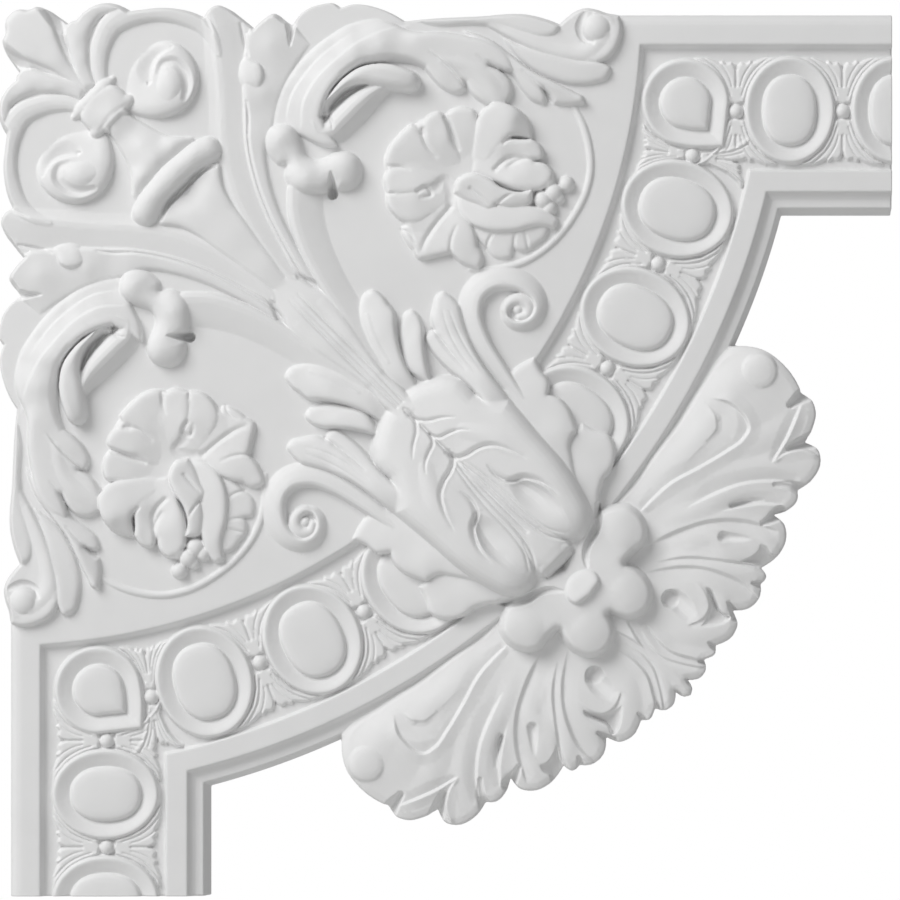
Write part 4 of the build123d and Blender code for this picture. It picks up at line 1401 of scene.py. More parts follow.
@dataclass
class ScrollLeaf(Ornament):
    """The big leaf that hooks over the rosette, and the rolled strip beside it."""

    def strip(self, relief: Relief) -> None:
        """The strip along the upper edge, its rolled end and the two lobes beside it.

        Args:
            relief: the sheet.
        """
        relief.plateau(
            outline(
                ((284, 16), (300, 22), (316, 26), (330, 29), (340, 30), (346.4, 34), (344.5, 39.5), (336, 43),
                 (324, 43.6), (311, 40), (296, 31), (284, 16)),
            ),
            ((290, 20, 22), (312, 30, 22.6), (332, 34, 23), (343, 36, 22.4), (325, 41, 21.8), (308, 36, 22)),
            self.crisp,
        )
        relief.plateau(
            outline(
                ((262, 5), (299, 1), (317, 5), (322, 0), (330, -4), (340, -4), (349, 1), (352.4, 9),
                 (350.6, 20), (345, 28), (338, 31.5)),
                ((326, 31), (314, 28.5), (300, 23.5), (288, 17), (275, 10), (262, 5)),
            ),
            ((270, 7, 21), (290, 12, 21.6), (305, 19, 22), (318, 25, 22.4), (332, 26, 22.8), (343, 21, 23),
             (347, 10, 23), (342, 1, 22.4), (330, 2, 21.6), (324, 12, 20.6), (316, 18, 21.4),
             (328, 18, 21.2)),
            self.crisp,
        )
        relief.add(((286, 14, 4, 0.4), (300, 19, 5, 0.9), (316, 24, 5, 1.0), (332, 24, 5, 1.0),
            (342, 15, 4, 0.8)), Cut.SOFT)
        relief.add(((331, 3, 1.6, -0.8), (328.4, 10, 2.4, -2.0), (331, 16.5, 2.6, -2.2),
            (335.5, 19.5, 1.6, -1.0)), Cut.ROUND)
        relief.ball(338.4, 11, 8.4, 25.6, squash=0.7)
        relief.stroke(((338, 2, 3, 23), (345, 5, 3.4, 23.4), (348, 11, 3, 23)), Cut.ROUND, 3)
        relief.plateau(
            outline(
                ((226, 4), (250, 2), (299, 0), (316, 6.5)),
                ((317.4, 10.5), (314.5, 15), (306, 16.8), (296, 14.6), (284, 11), (266, 9.4), (246, 10),
                 (226, 4)),
            ),
            ((232, 7, 20.4), (255, 6, 21.2), (280, 6, 21.8), (300, 8, 23), (311, 11, 23.2), (300, 14, 22.4),
             (290, 10.6, 22.0)),
            self.crisp,
        )

    def side_lobes(self, relief: Relief) -> None:
        """The long lobe right of the leaf's tip."""
        relief.plateau(
            outline(
                ((262, 12), (278, 18), (290, 27), (302, 36), (315, 42.4), (325, 47.4), (330.4, 50.4),
                 (331.4, 54)),
                ((322, 55.4), (313.5, 54.4)),
                ((311.4, 50), (307.6, 46)),
                ((309.4, 51), (308, 55.2)),
                ((301, 52.6), (295, 46), (290, 38), (276, 26), (262, 12)),
            ),
            ((270, 17, 23.4), (285, 27, 24.4), (300, 38, 25.2), (315, 45.4, 25.2), (326, 50.4, 24.4),
             (316, 52, 23.0), (303, 50, 22.6), (294, 40, 23.2)),
            self.crisp,
        )
        relief.add(((296, 36, 1.8, -0.5), (303, 42, 2.4, -1.2), (308, 47, 2.0, -1.6), (311, 52, 1.6, -1.6)),
            Cut.GROOVE)

    def body(self, relief: Relief) -> None:
        """The arched body, from its bulb round to the leaf tips.

        Args:
            relief: the sheet.
        """
        relief.plateau(
            outline(
                ((152, 68), (153, 56), (157, 44.6), (165, 33), (175, 22.4), (185, 14.6), (195, 8.8),
                 (204, 5.6), (213, 5.2), (222, 8)),
                ((232, 12.6), (250, 13.4), (266, 16), (280, 20.6), (288.4, 27.6), (291.6, 36.4)),
                ((285, 35.6), (277, 32.6)),
                ((284.5, 36.4), (289.4, 42), (290, 48), (286.6, 55)),
                ((276, 54.6), (267, 49), (263, 42.6)),
                ((262.8, 46.4), (258.4, 48.6), (251, 46), (244.4, 40), (240, 34.2)),
                ((232, 31), (222, 30), (212, 30.6), (204, 32.4), (196, 37), (188, 45), (183, 54), (181, 62)),
                ((186, 72), (190, 78), (182, 78.4), (176, 76), (170, 73)),
                ((164, 71), (158, 69), (152, 68)),
            ),
            ((154, 62, 19.6), (158, 46, 19.8), (168, 31, 20.0), (182, 18, 20.2), (196, 9, 20.4),
             (212, 6, 20.6), (162, 62, 21.0), (165, 48, 21.4), (174, 35, 21.6), (188, 22, 21.8),
             (202, 13, 21.8), (170, 62, 23.6), (171, 52, 24.6), (178, 40, 25.6), (188, 30, 26.2),
             (200, 21, 26.0), (213, 14.6, 25.4), (228, 12, 23.8), (178, 62, 26), (180, 50, 27.2),
             (188, 38, 27.8), (200, 28, 27.6), (216, 20, 27.2), (235, 17, 26.4), (255, 19, 26.0),
             (272, 23, 26.0), (286, 31, 25.4), (206, 32, 25.0), (222, 28, 24.6), (238, 30, 24.4),
             (250, 38, 24.4), (259, 46, 23.0), (268, 38, 24.6), (276, 50, 24.2), (287, 48, 23.2),
             (177, 72, 24)),
            self.crisp,
        )
        ridge = ((-1, 0), (-0.5, -0.35), (-0.12, -0.8), (0.12, 0.8), (0.6, 0.4), (1, 0))
        for half, amount, *points in (
            (5, 0.7, (169.6, 66), (170.6, 54), (178, 40.4), (188, 30.4), (200, 20.6), (213, 14), (228, 9.6)),
            (4, 0.5, (161, 62), (163.6, 50), (171, 38), (182, 26), (196, 16)),
        ):
            relief.add(fading(points, half, amount, 0.3, 0.3), ridge)
        relief.add(((192, 37.6, 2, -0.4), (204, 31.8, 3.4, -1.6), (214, 29.2, 3.6, -1.8),
            (228, 29.4, 3.4, -1.6), (240, 33, 2.4, -0.8)),
                      Cut.GROOVE)
        relief.add(((243, 25, 1.6, -0.3), (250, 30, 2.4, -0.9), (257, 37, 2.4, -1.2), (262, 43, 1.8, -1.4)),
            ridge)
        relief.add(((270, 27, 2, -0.3), (277, 32, 2.4, -1.0), (284, 35.4, 2.4, -1.8)), Cut.GROOVE)
        relief.add(((250, 30, 3, 0.4), (263, 33, 4, 0.7), (276, 42, 5, 0.8), (282, 50, 4, 0.4)), Cut.SOFT)

    def limb(self, relief: Relief) -> None:
        """The bulb at the foot of the leaf, its short limb, and the tongue that lies over it.

        Args:
            relief: the sheet.
        """
        relief.stroke(
            ((176, 66, 5.5, 25.4), (178.5, 71, 6.4, 25), (186, 71, 7.4, 25.2), (194, 64, 8.2, 26),
             (202, 56, 8.0, 26.4), (210, 49, 6.4, 26), (217, 45, 4, 25.4)),
            ((-1, 0.3), (-0.8, 0.7), (-0.4, 0.96), (-0.1, 1), (0.25, 0.82), (0.6, 0.4), (0.85, 0.12), (1, 0)),
            7,
        )
        relief.add(((184, 61, 1.6, -1.2), (187, 65, 1.6, -1.6), (187.4, 69, 1.2, -0.6)), Cut.GROOVE)
        relief.plateau(
            outline(
                ((180.6, 61), (182, 54.6), (187, 47), (195, 38.6), (203, 33.6), (212, 31.6), (221, 32),
                 (228, 34), (234, 36.4)),
                ((237, 40), (236.4, 44.6), (232, 47.2), (225, 46.8), (216, 45.4), (206, 43.6), (198, 45.4),
                 (191, 50), (186, 56), (184, 61.4), (180.6, 61)),
            ),
            ((184, 56, 26.6), (190, 47, 28.6), (200, 38, 29.8), (212, 35, 30.2), (222, 36, 30.2),
             (230, 39, 29.4), (234, 43, 27.4), (226, 45, 28), (212, 42, 29.4), (199, 43, 28.8),
             (192, 48, 27.8)),
            ((0, -6.0), (0.6, -3.2), (1.4, -1.6), (2.8, -0.5), (4.5, 0.0)),
        )
        relief.add(((181.4, 62, 1.4, -2.0), (184, 57, 2.4, -4.4), (190, 51.4, 2.4, -4.6),
            (198, 46.4, 2.0, -3.6), (205, 44.6, 1.2, -1.0)),
                      Cut.ROUND)

    def carve(self, relief: Relief) -> None:
        """Cuts the group into the sheet.

        Args:
            relief: the sheet.
        """
        self.strip(relief)
        self.side_lobes(relief)
        self.body(relief)
        self.limb(relief)
        relief.add(((163.4, 4, 3.4, -6), (163.4, 9, 2.8, -6), (163.2, 15, 1.6, -4), (163, 21, 0.7, -0.6)),
            Cut.ROUND)


@dataclass
class Rosette(Ornament):
    """Open petals, the folded petal, the berries and the vine that rings them."""

    def open_petals(self, relief: Relief) -> None:
        """A cupped bed and five petals round the middle, the lowest first.

        Args:
            relief: the sheet.
        """
        relief.plateau(
            outline(
                ((219, 96), (220, 86), (224, 77), (233, 67), (243, 61), (253, 60), (263, 58), (269, 62),
                 (272, 78), (271, 100), (268, 124), (270, 141), (262, 143), (254, 138), (240, 141),
                 (230, 129), (226, 118), (220, 108), (219, 96)),
            ),
            ((223, 92, 23.2), (225, 80, 23.6), (234, 70, 24.2), (244, 64, 24.6), (254, 63, 24.0),
             (265, 62, 23.6), (268, 74, 22.4), (261, 82, 21.2), (250, 82, 21.8), (256, 93, 20.6),
             (262, 100, 20.6), (248, 99, 21.2), (240, 90, 22.6), (226, 102, 23.4), (227, 113, 23.2),
             (240, 113, 22.2), (251, 108, 20.8), (234, 121, 22.6), (259, 116, 21.4), (250, 127, 22.6),
             (233, 132, 21.6), (264, 137, 23.2), (244, 138, 22.4)),
            ((0, -5), (1.0, -2.4), (2.4, -0.8), (4, 0)),
        )
        for line, skin in (
            (
                outline(((262, 112), (272, 118), (300, 118), (311, 126), (309, 131), (304, 135),
                    (299.4, 138.6)),
                        ((295, 139), (291, 137.6)), ((289.6, 142), (285, 143.4), (279, 142), (275, 137)),
                        ((270, 132), (262, 112))),
                ((266, 116, 20.4), (276, 128, 21.6), (282, 140, 21.2), (294, 130, 22.2), (303, 131, 21.8),
                 (305, 124, 22)),
            ),
            (
                outline(((254, 110), (262, 116), (268, 125), (270.6, 136)), ((273.6, 142), (271, 148),
                    (262.6, 146), (254.6, 139.6)),
                        ((247, 141.4), (236, 142.6), (233, 137.6)), ((230, 134), (227.4, 129.6),
                            (226, 124.6)),
                        ((236, 118), (245, 112), (254, 110))),
                ((252, 113, 20.4), (244, 122, 21.4), (232, 130, 22.4), (240, 138, 23.0), (250, 136, 23.6),
                 (262, 141, 24), (268, 142, 23.4), (259, 124, 23.4), (264, 130, 24)),
            ),
            (
                outline(((256, 98), (244, 98), (230, 103), (218, 105.4)), ((218.6, 112), (224, 119),
                    (232, 122.8), (239, 122)),
                        ((247, 117), (255, 111), (256, 98))),
                ((252, 104, 20.6), (244, 104, 22.0), (226, 108, 23.8), (226, 116, 24), (238, 118, 23.4),
                 (246, 112, 22.0), (235, 108, 24)),
            ),
            (
                outline(((256, 92), (238, 86), (219, 91)), ((216.4, 97), (218.6, 105.6)), ((227, 106.4),
                    (236, 105.6), (245, 101), (256, 96), (256, 92))), ((252, 94, 20.6), (240, 92, 22.6),
                        (222, 95, 24), (222, 102, 24.2), (235, 101, 24.4), (245, 97, 22.6)),
            ),
            (
                outline(((252, 60.4), (255.4, 57.4), (262, 56), (268.4, 58), (270.4, 64)), ((272, 76),
                    (268, 90), (258, 92), (254, 76), (252, 60.4))), ((255, 62, 24.2), (264, 60, 24.6),
                        (269, 66, 24), (262, 72, 23.6), (260, 82, 21.6), (266, 84, 21.0)),
            ),
            (
                outline(((218.4, 93), (217, 86), (219.4, 79), (225, 72), (232, 65.6)), ((236, 67),
                    (238.6, 71)), ((238.8, 65), (243, 60), (248, 58.6), (251.4, 61)),
                        ((254.4, 68), (256, 76), (260, 80.4)), ((262, 88), (254, 93.4), (240, 91),
                            (230, 92.6), (218.4, 93))),
                ((221, 88, 23.8), (223, 79, 24.4), (232, 69, 25), (243, 63, 25.4), (250, 64, 25.4),
                 (253, 74, 25), (238, 82, 23.8), (246, 76, 24.4), (256, 86, 21.6), (250, 90, 21.2),
                 (240, 88, 22.4)),
            ),
        ):
            relief.plateau(line, skin, self.crisp)
        for half, amount, *points in (
            (2.0, -1.2, (219, 90), (225, 90.6), (231, 92)),
            (2.6, -1.5, (238.6, 69), (240, 76), (246, 84)),
            (2.4, -2.6, (252, 62), (256, 72), (259, 80)),
            (2.2, -1.6, (236, 104.4), (241, 102), (243.6, 106), (238, 108)),
            (3.0, -1.6, (255, 113), (248, 121), (241, 131), (238, 138)),
            (2.0, -1.2, (227, 126), (231, 128), (234, 133)),
            (2.0, -1.0, (254.6, 139), (255, 132), (258, 124)),
            (1.8, -1.0, (275, 137), (277, 131), (280, 127)),
            (1.8, -1.0, (291, 137), (291, 132), (292, 127)),
            (1.8, -0.9, (299.4, 138), (298, 132), (297, 127)),
        ):
            relief.add(fading(points, half, amount, 1.0, 0.4), Cut.GROOVE)
        relief.add(((246, 103, 3, -0.8), (251, 98, 4, -1.2), (255, 104, 4, -1.4), (254, 112, 3, -0.8)),
            Cut.SOFT)

    def folds(self, relief: Relief) -> None:
        """The folded petal and its lobes on the right, the bean and the long lower petal.

        Args:
            relief: the sheet.
        """
        for line, skin in (
            (
                outline(((258, 104), (258, 113), (262, 120), (272, 126), (290, 127.4), (305, 124.4),
                    (314, 125.4)),
                        ((316.4, 121), (310, 115), (300, 112), (280, 108), (258, 104))),
                ((262, 108, 22), (264, 116, 23.4), (275, 121, 25), (290, 122, 25.4), (305, 119, 25),
                 (313, 121, 23.4)),
            ),
            (
                outline(((266, 94), (270, 76), (276, 70), (290, 74), (301, 74.6)), ((306.6, 79), (307.4, 85),
                    (303, 87)),
                        ((309, 88.6), (313.4, 94), (311.6, 100), (305.6, 104)), ((294, 104), (282, 100),
                            (266, 94))),
                ((272, 84, 22.6), (284, 80, 25.6), (298, 78, 26.6), (304, 82, 25.6), (290, 87, 23.6),
                 (282, 92, 24), (300, 89, 25.6), (309, 94, 25.8), (304, 100, 25.6), (290, 97, 26)),
            ),
            (
                outline(((265, 92), (266, 80), (268.6, 68), (272, 59), (279, 54), (287, 54.6), (295, 59),
                    (300.4, 66), (301.4, 75)),
                        ((295, 73.6), (290, 73.4), (285.4, 77.4)), ((279, 86), (274, 93), (265, 92))),
                ((268, 86, 21.6), (272, 74, 24.6), (276, 62, 27.6), (284, 57, 29.2), (291, 63, 29.6),
                 (290, 71, 28.4), (295.6, 65, 26.6), (298.4, 71, 24.6), (281, 74, 26.8), (276, 86, 23.4)),
            ),
            (
                outline(((256.6, 105), (258.4, 98), (267, 94), (276, 97), (285, 102.6), (293, 104.6),
                    (301.6, 103)),
                        ((300.8, 111.4), (291, 114.2), (281, 112.4)), ((276.6, 115.4), (270, 112.4),
                            (262, 109), (256.6, 105))),
                ((262, 101, 26), (270, 99, 27.2), (278, 104, 27.6), (290, 108.6, 27.2), (299, 108, 26),
                 (274, 111, 25.6), (264, 106, 25)),
            ),
        ):
            relief.plateau(line, skin, self.crisp)
        for half, amount, *points in (
            (2.0, -1.2, (266, 103), (272, 108), (277, 113)),
            (1.6, -1.4, (281, 112), (286, 108), (290, 106)),
            (2.4, -1.6, (303, 87), (296, 86), (288, 90)),
            (2.6, -1.8, (280, 92), (287, 86), (296, 85)),
            (1.6, -1.2, (285, 77), (290, 73.6), (294, 72.6)),
        ):
            relief.add(fading(points, half, amount, 1.0, 0.4), Cut.GROOVE)
        for x, d, radius, top in ((307.5, 109, 5.6, 25), (313.4, 105, 5.4, 25.4), (320.6, 100, 4.6, 24),
            (311, 113.6, 4.4, 24), (310, 99, 4, 25), (316.4, 108, 3.6, 23.4)):
            relief.ball(x, d, radius, top)

    def carve(self, relief: Relief) -> None:
        """Cuts the group into the sheet.

        Args:
            relief: the sheet.
        """
        relief.stroke(
            ((323, 52, 1.6, 19.2), (331, 68, 2.0, 19.9), (334, 80, 2.0, 20), (334.6, 92, 2.0, 20),
             (332, 104, 2.0, 20), (325, 118, 2.0, 20), (313, 133, 2.0, 20), (300, 142.6, 2.0, 20),
             (284, 148, 2.0, 20), (266, 148.6, 1.8, 19.4)),
            Cut.ROUND, 1.6,
        )
        self.open_petals(relief)
        self.folds(relief)


@dataclass
class FoldedLeaf(Ornament):
    """The leaf on the diagonal: its lower leaf, the folded upper leaf, side lobes and side volutes."""

    crisp: tuple = ((0, -5.0), (0.5, -2.4), (1.2, -1.0), (2.4, -0.25), (4.0, 0.0))
    rolled: tuple = ((0, -14.0), (0.8, -9.0), (2.0, -5.6), (3.6, -3.2), (6.0, -1.3), (9.0, -0.3), (12.0, 0.0))

    def side_volute(self, relief: Relief) -> None:
        """The stalk that leaves the leaf and rolls up beside the band.

        Args:
            relief: the sheet.
        """
        relief.stroke(
            ((310, 246, 5, 25), (296, 228, 6, 25), (281, 207, 6.5, 25), (270.5, 190, 7, 24.5),
             (265.5, 175, 7.5, 24.2), (268, 162, 7.5, 24.2), (276.5, 154.8, 7.3, 24.4),
             (288, 153.4, 7.2, 24.4), (298, 157, 6.2, 24.2), (304.4, 163.6, 5.2, 24.0),
             (306.2, 170.4, 4.6, 23.8), (303.4, 177.2, 4.2, 23.6), (297.2, 181.0, 3.8, 23.2),
             (290.4, 180.6, 3.4, 22.8), (285.6, 176.4, 2.8, 22.2), (284.6, 171.4, 2.0, 21.4)),
            ((-1, 0), (-0.75, 0.28), (-0.3, 0.66), (0.2, 0.92), (0.55, 1), (0.8, 0.86), (0.94, 0.5), (1, 0)),
            6.2,
        )
        relief.stroke(
            ((287.4, 177, 1.4, 21.6), (286.0, 171.4, 2.6, 22.6), (289.2, 167.0, 3.4, 23.2),
             (294.6, 165.8, 3.9, 23.4), (299.0, 169.2, 3.9, 23.4), (298.4, 174.4, 3.4, 23.0),
             (294.2, 176.0, 2.6, 22.4)), Cut.ROUND, 4.0,
        )
        relief.ball(293.2, 171.6, 3.2, 22.2)

    def side_lobes(self, relief: Relief) -> None:
        """Three lobes that stand out from under the folded leaf, the furthest first.

        Args:
            relief: the sheet.
        """
        relief.plateau(
            outline(
                ((284, 238), (270, 221), (262, 213), (254, 206.6), (247, 199.8), (242.4, 193.4),
                 (240.2, 188.4), (241.2, 184.8), (245.4, 183.2)),
                ((243.6, 178), (244.4, 170), (246.6, 163), (250.2, 161), (255, 164), (260, 169.6)),
                ((262, 177), (265, 187), (270, 198), (279, 211)),
                ((287, 221), (295, 233), (284, 238)),
            ),
            ((248, 164, 22.8), (255, 168, 23.6), (253, 180, 25.2), (257, 192, 26.8), (263, 202, 28.4),
             (272, 212, 31), (243, 188, 23.4), (249, 198, 25.0), (258, 207, 27.6), (268, 216, 30.4),
             (262, 186, 25.2), (276, 223, 31.8), (284, 233, 30.6), (291, 229, 27.0)),
            self.crisp,
        )
        relief.add(((244.6, 182.6, 1.2, -1.2), (248.6, 187.6, 2.2, -2.2), (254.6, 195.6, 2.4, -1.8),
            (263, 205.6, 1.6, -0.6)),
                      ((-1, 0), (-0.2, 0.4), (0, 1), (0.4, 0.5), (1, 0)))
        for points in (((250, 172), (253.6, 184), (260, 196), (269, 208)), ((254, 172), (258.6, 184),
            (265, 196), (273, 207))):
            stations = [(x, d, 1.3, -0.6 if 0 < i < 3 else -0.2) for i, (x, d) in enumerate(points)]
            relief.add(stations, Cut.GROOVE)
        relief.plateau(
            outline(
                ((243, 214), (230, 206), (226, 194), (225, 185), (226.4, 177), (229.2, 172.4), (232.6, 171.6),
                 (236.2, 174.4), (239, 181), (239.5, 190), (240.5, 200), (244, 213), (247, 220)),
                ((243, 214),),
            ),
            ((228, 178, 22.0), (235, 176, 23.4), (237.5, 188, 25.0), (238.5, 200, 25.8), (229, 190, 22.6),
             (232, 203, 24), (241, 208, 25.6), (245, 217, 22.0), (233, 190, 24.4)),
            self.crisp,
        )
        relief.plateau(
            outline(
                ((230, 222), (213, 205), (205, 192), (201.5, 180), (202.4, 169), (205.4, 162), (210, 160),
                 (215, 163), (219.5, 168.8)),
                ((222.8, 173), (223.6, 182), (225, 190), (229, 203), (236, 215), (240, 222), (230, 222)),
            ),
            ((205, 172, 22), (211, 165, 23.2), (218, 172, 24.6), (215, 185, 25.6), (223, 197, 26.2),
             (231, 209, 26.2), (236, 219, 23.0), (206, 186, 22.4), (213, 199, 23.6), (221, 208, 25.2),
             (210, 180, 24.2), (221, 180, 25.4)),
            self.crisp,
        )
        relief.add(((207, 175, 1.6, 0.4), (211, 188, 1.8, 0.5), (219, 202, 1.6, 0.4)), Cut.SOFT)

    def under_leaf(self, relief: Relief) -> None:
        """The long leaf that comes up the diagonal, with its three-line midrib.

        Args:
            relief: the sheet.
        """
        half = outline(
            ((153.2, 153.2), (160, 151), (169, 153.5), (176, 158)),
            ((186, 163.5), (193, 172), (200, 182), (208, 194.5), (217, 207), (228, 217), (236, 229)),
        )
        relief.plateau(
            over_diagonal(half),
            ((156, 156, 21), (170, 170, 23.6), (190, 190, 25.4), (210, 210, 26.4), (226, 226, 27.4),
             (172, 157, 21.6), (188, 170, 23.0), (200, 186, 24.2), (213, 203, 25.4),
             (157, 172, 21.6), (170, 188, 23.0), (186, 200, 24.2), (203, 213, 25.4)),
            self.crisp,
        )
        for shift, depth in ((0.0, -0.9), (2.3, -1.4), (-2.3, -1.4)):
            relief.add(
                ((165 + shift, 165 - shift, 0.8, depth * 0.3), (180 + shift, 180 - shift, 1.2, depth),
                 (205 + shift, 205 - shift, 1.3, depth), (226 + shift * 0.7, 226 - shift * 0.7, 1.3, depth)),
                Cut.GROOVE,
            )
        relief.add(((182, 168, 3.5, 0.3), (198, 186, 4.5, 0.8), (214, 206, 4, 0.5)), Cut.SOFT, both=True)

    def hub_lobes(self, relief: Relief) -> None:
        """Two lobes between the folded leaf and the hub."""
        relief.plateau(
            outline(
                ((330, 236), (337, 240), (345, 243), (349, 252), (347, 262), (342.5, 268)),
                ((340, 276), (339.5, 288), (339, 300), (332, 318)),
                ((318, 300), (318, 262), (322, 246), (330, 236)),
            ),
            ((332, 241, 22), (344, 247, 22.5), (343, 258, 23.5), (337, 262, 25), (336, 280, 26),
             (334, 300, 26), (324, 260, 25), (325, 246, 23.5)),
            self.crisp,
        )
        relief.plateau(
            outline(
                ((303, 198), (306, 206), (311, 213), (310.5, 220)),
                ((317, 222.5), (322, 228), (325, 235), (327, 241)),
                ((323.5, 247), (324.5, 258), (328, 272)),
                ((300, 240), (284, 215), (290, 206), (303, 198)),
            ),
            ((303, 201, 21.5), (300, 215, 24), (312, 224, 25), (322, 236, 26), (323, 250, 27),
             (306, 236, 26.5), (318, 240, 27.5), (326, 266, 28), (294, 212, 23)),
            self.crisp,
        )

    def over_leaf(self, relief: Relief) -> None:
        """The folded leaf on top, its midrib, veins, hollows and cut tip.

        Args:
            relief: the sheet.
        """
        half = outline(
            ((224.5, 224.5), (226, 219), (231.5, 214.6), (241, 211.0), (252, 208.6), (260.4, 210.4),
             (265.6, 214.8), (269.4, 219.4)),
            ((275, 221.4), (282, 222.0), (288.6, 222.4)),
            ((305, 242.4), (320, 260), (330, 275.5), (335, 287), (334.6, 296), (330, 303)),
            ((326, 305), (325.5, 311)),
            ((318.5, 318.5),),
        )
        skin = ((226, 226, 27.0), (240, 240, 30.0), (255, 255, 32.0), (275, 275, 33.8), (295, 295, 34.6),
            (312, 312, 33.6))
        side = ((232, 218, 28.0), (243, 215, 30.0), (256, 214, 31.6), (272, 213, 31.6), (266, 227, 34.4),
            (285, 232, 35.6),
                (283, 243, 37.2), (299, 250, 38.2), (297, 257, 38.4), (312, 270, 39.2), (322, 278, 38.8),
                (318, 290, 37.8), (328, 292, 37.2), (252, 236, 32.6), (270, 252, 35.2), (287, 269, 36.4),
                (303, 287, 36.2), (320, 300, 34.4))
        skin = skin + both_sides(side)
        relief.plateau(over_diagonal(half), skin, self.rolled, soft=3.0)
        tongue = outline(((300, 300), (311, 300.4), (321, 302.4), (325.4, 306.8)), ((316.2, 316.2),))
        relief.plateau(
            over_diagonal(tongue),
            ((304, 304, 33.8), (312, 303, 33.4), (303, 312, 33.4), (322, 306, 32.4), (306, 322, 32.4),
             (315, 315, 33.0)),
            ((0, -9.5), (0.6, -7.6), (1.5, -3.0), (2.1, -1.1), (3.0, -0.3), (4.5, 0)),
        )
        groove = ((-1, 0), (-0.45, 0.35), (-0.12, 1), (0.12, 0.85), (0.5, -0.12), (1, 0))
        for points in (
            ((228, 229, 1.2, -0.6), (234, 234.4, 1.8, -1.4), (241, 235.6, 1.8, -1.5), (250, 233.8, 1.5, -1.1),
             (257, 233.4, 1, -0.2)),
            ((243, 243, 1.4, -0.8), (248, 245, 1.7, -1.5), (254, 242.6, 1.7, -1.4), (260, 240.6, 1.3, -0.9),
             (266, 241, 1, -0.2)),
            ((252, 254, 1.6, -0.8), (258, 256.6, 2.0, -1.9), (264, 255, 2.2, -2.2), (270, 251.4, 2.2, -2.2),
             (277, 249.4, 2.0, -1.8), (286, 251.2, 1.8, -1.2), (298, 257, 1.2, -0.2)),
            ((276, 261, 1.6, -0.3), (281, 266.6, 2.2, -1.6), (288, 269.8, 2.4, -2.4), (296, 267.8, 2.4, -2.6),
             (304, 269.4, 2.2, -2.2), (312, 274, 1.6, -0.8), (316, 278, 1.2, -0.2)),
        ):
            wider = [(x, d, half * 1.3, amount * 1.25) for x, d, half, amount in points]
            relief.add(wider, groove, both=True)
        relief.add(
            ((289, 270.6, 3.0, -1.4), (294.6, 273.6, 6.0, -5.0), (301, 278.6, 8.0, -5.0),
             (308.6, 285.4, 8.4, -3.2), (315, 291.6, 6.5, -1.4), (321, 297, 3.0, -0.2)),
            ((-1, 0), (-0.78, 0.6), (-0.42, 1), (0.1, 0.8), (0.6, 0.3), (1, 0)), both=True,
        )
        relief.add(((262, 241, 5, 0.9), (276, 244, 6, 1.0), (292, 253, 5, 0.4)), Cut.SOFT, both=True)
        for points, depth in (
            (((229, 231), (244, 243.5), (254, 254.5), (268, 265), (284, 279.5), (299, 293.5), (310, 300.6),
              (319, 302.6), (328, 301)), -1.8),
            (((254, 256), (268, 269), (284, 284.5), (298, 298.5)), -1.3),
            (((256, 254), (270, 263.5), (286, 276.5), (300, 289.5), (311, 297), (320, 299)), -1.3),
        ):
            relief.add(fading(points, 1.6, depth, 0.4, 0.4), Cut.GROOVE, both=True)
        relief.add(((298, 298.5, 2, 0.2), (308, 308, 7, 0.9), (316, 316, 8, 0.8)), Cut.SOFT)
        relief.add(((296, 305, 1.2, -0.6), (300, 314, 1.6, -1.6), (304, 323, 2.0, -2.6)), Cut.GROOVE,
            both=True)

    def carve(self, relief: Relief) -> None:
        """Cuts the group into the sheet.

        Args:
            relief: the sheet.
        """
        self.side_volute(relief)
        self.under_leaf(relief)
        self.side_lobes(relief)
        self.hub_lobes(relief)
        self.over_leaf(relief)


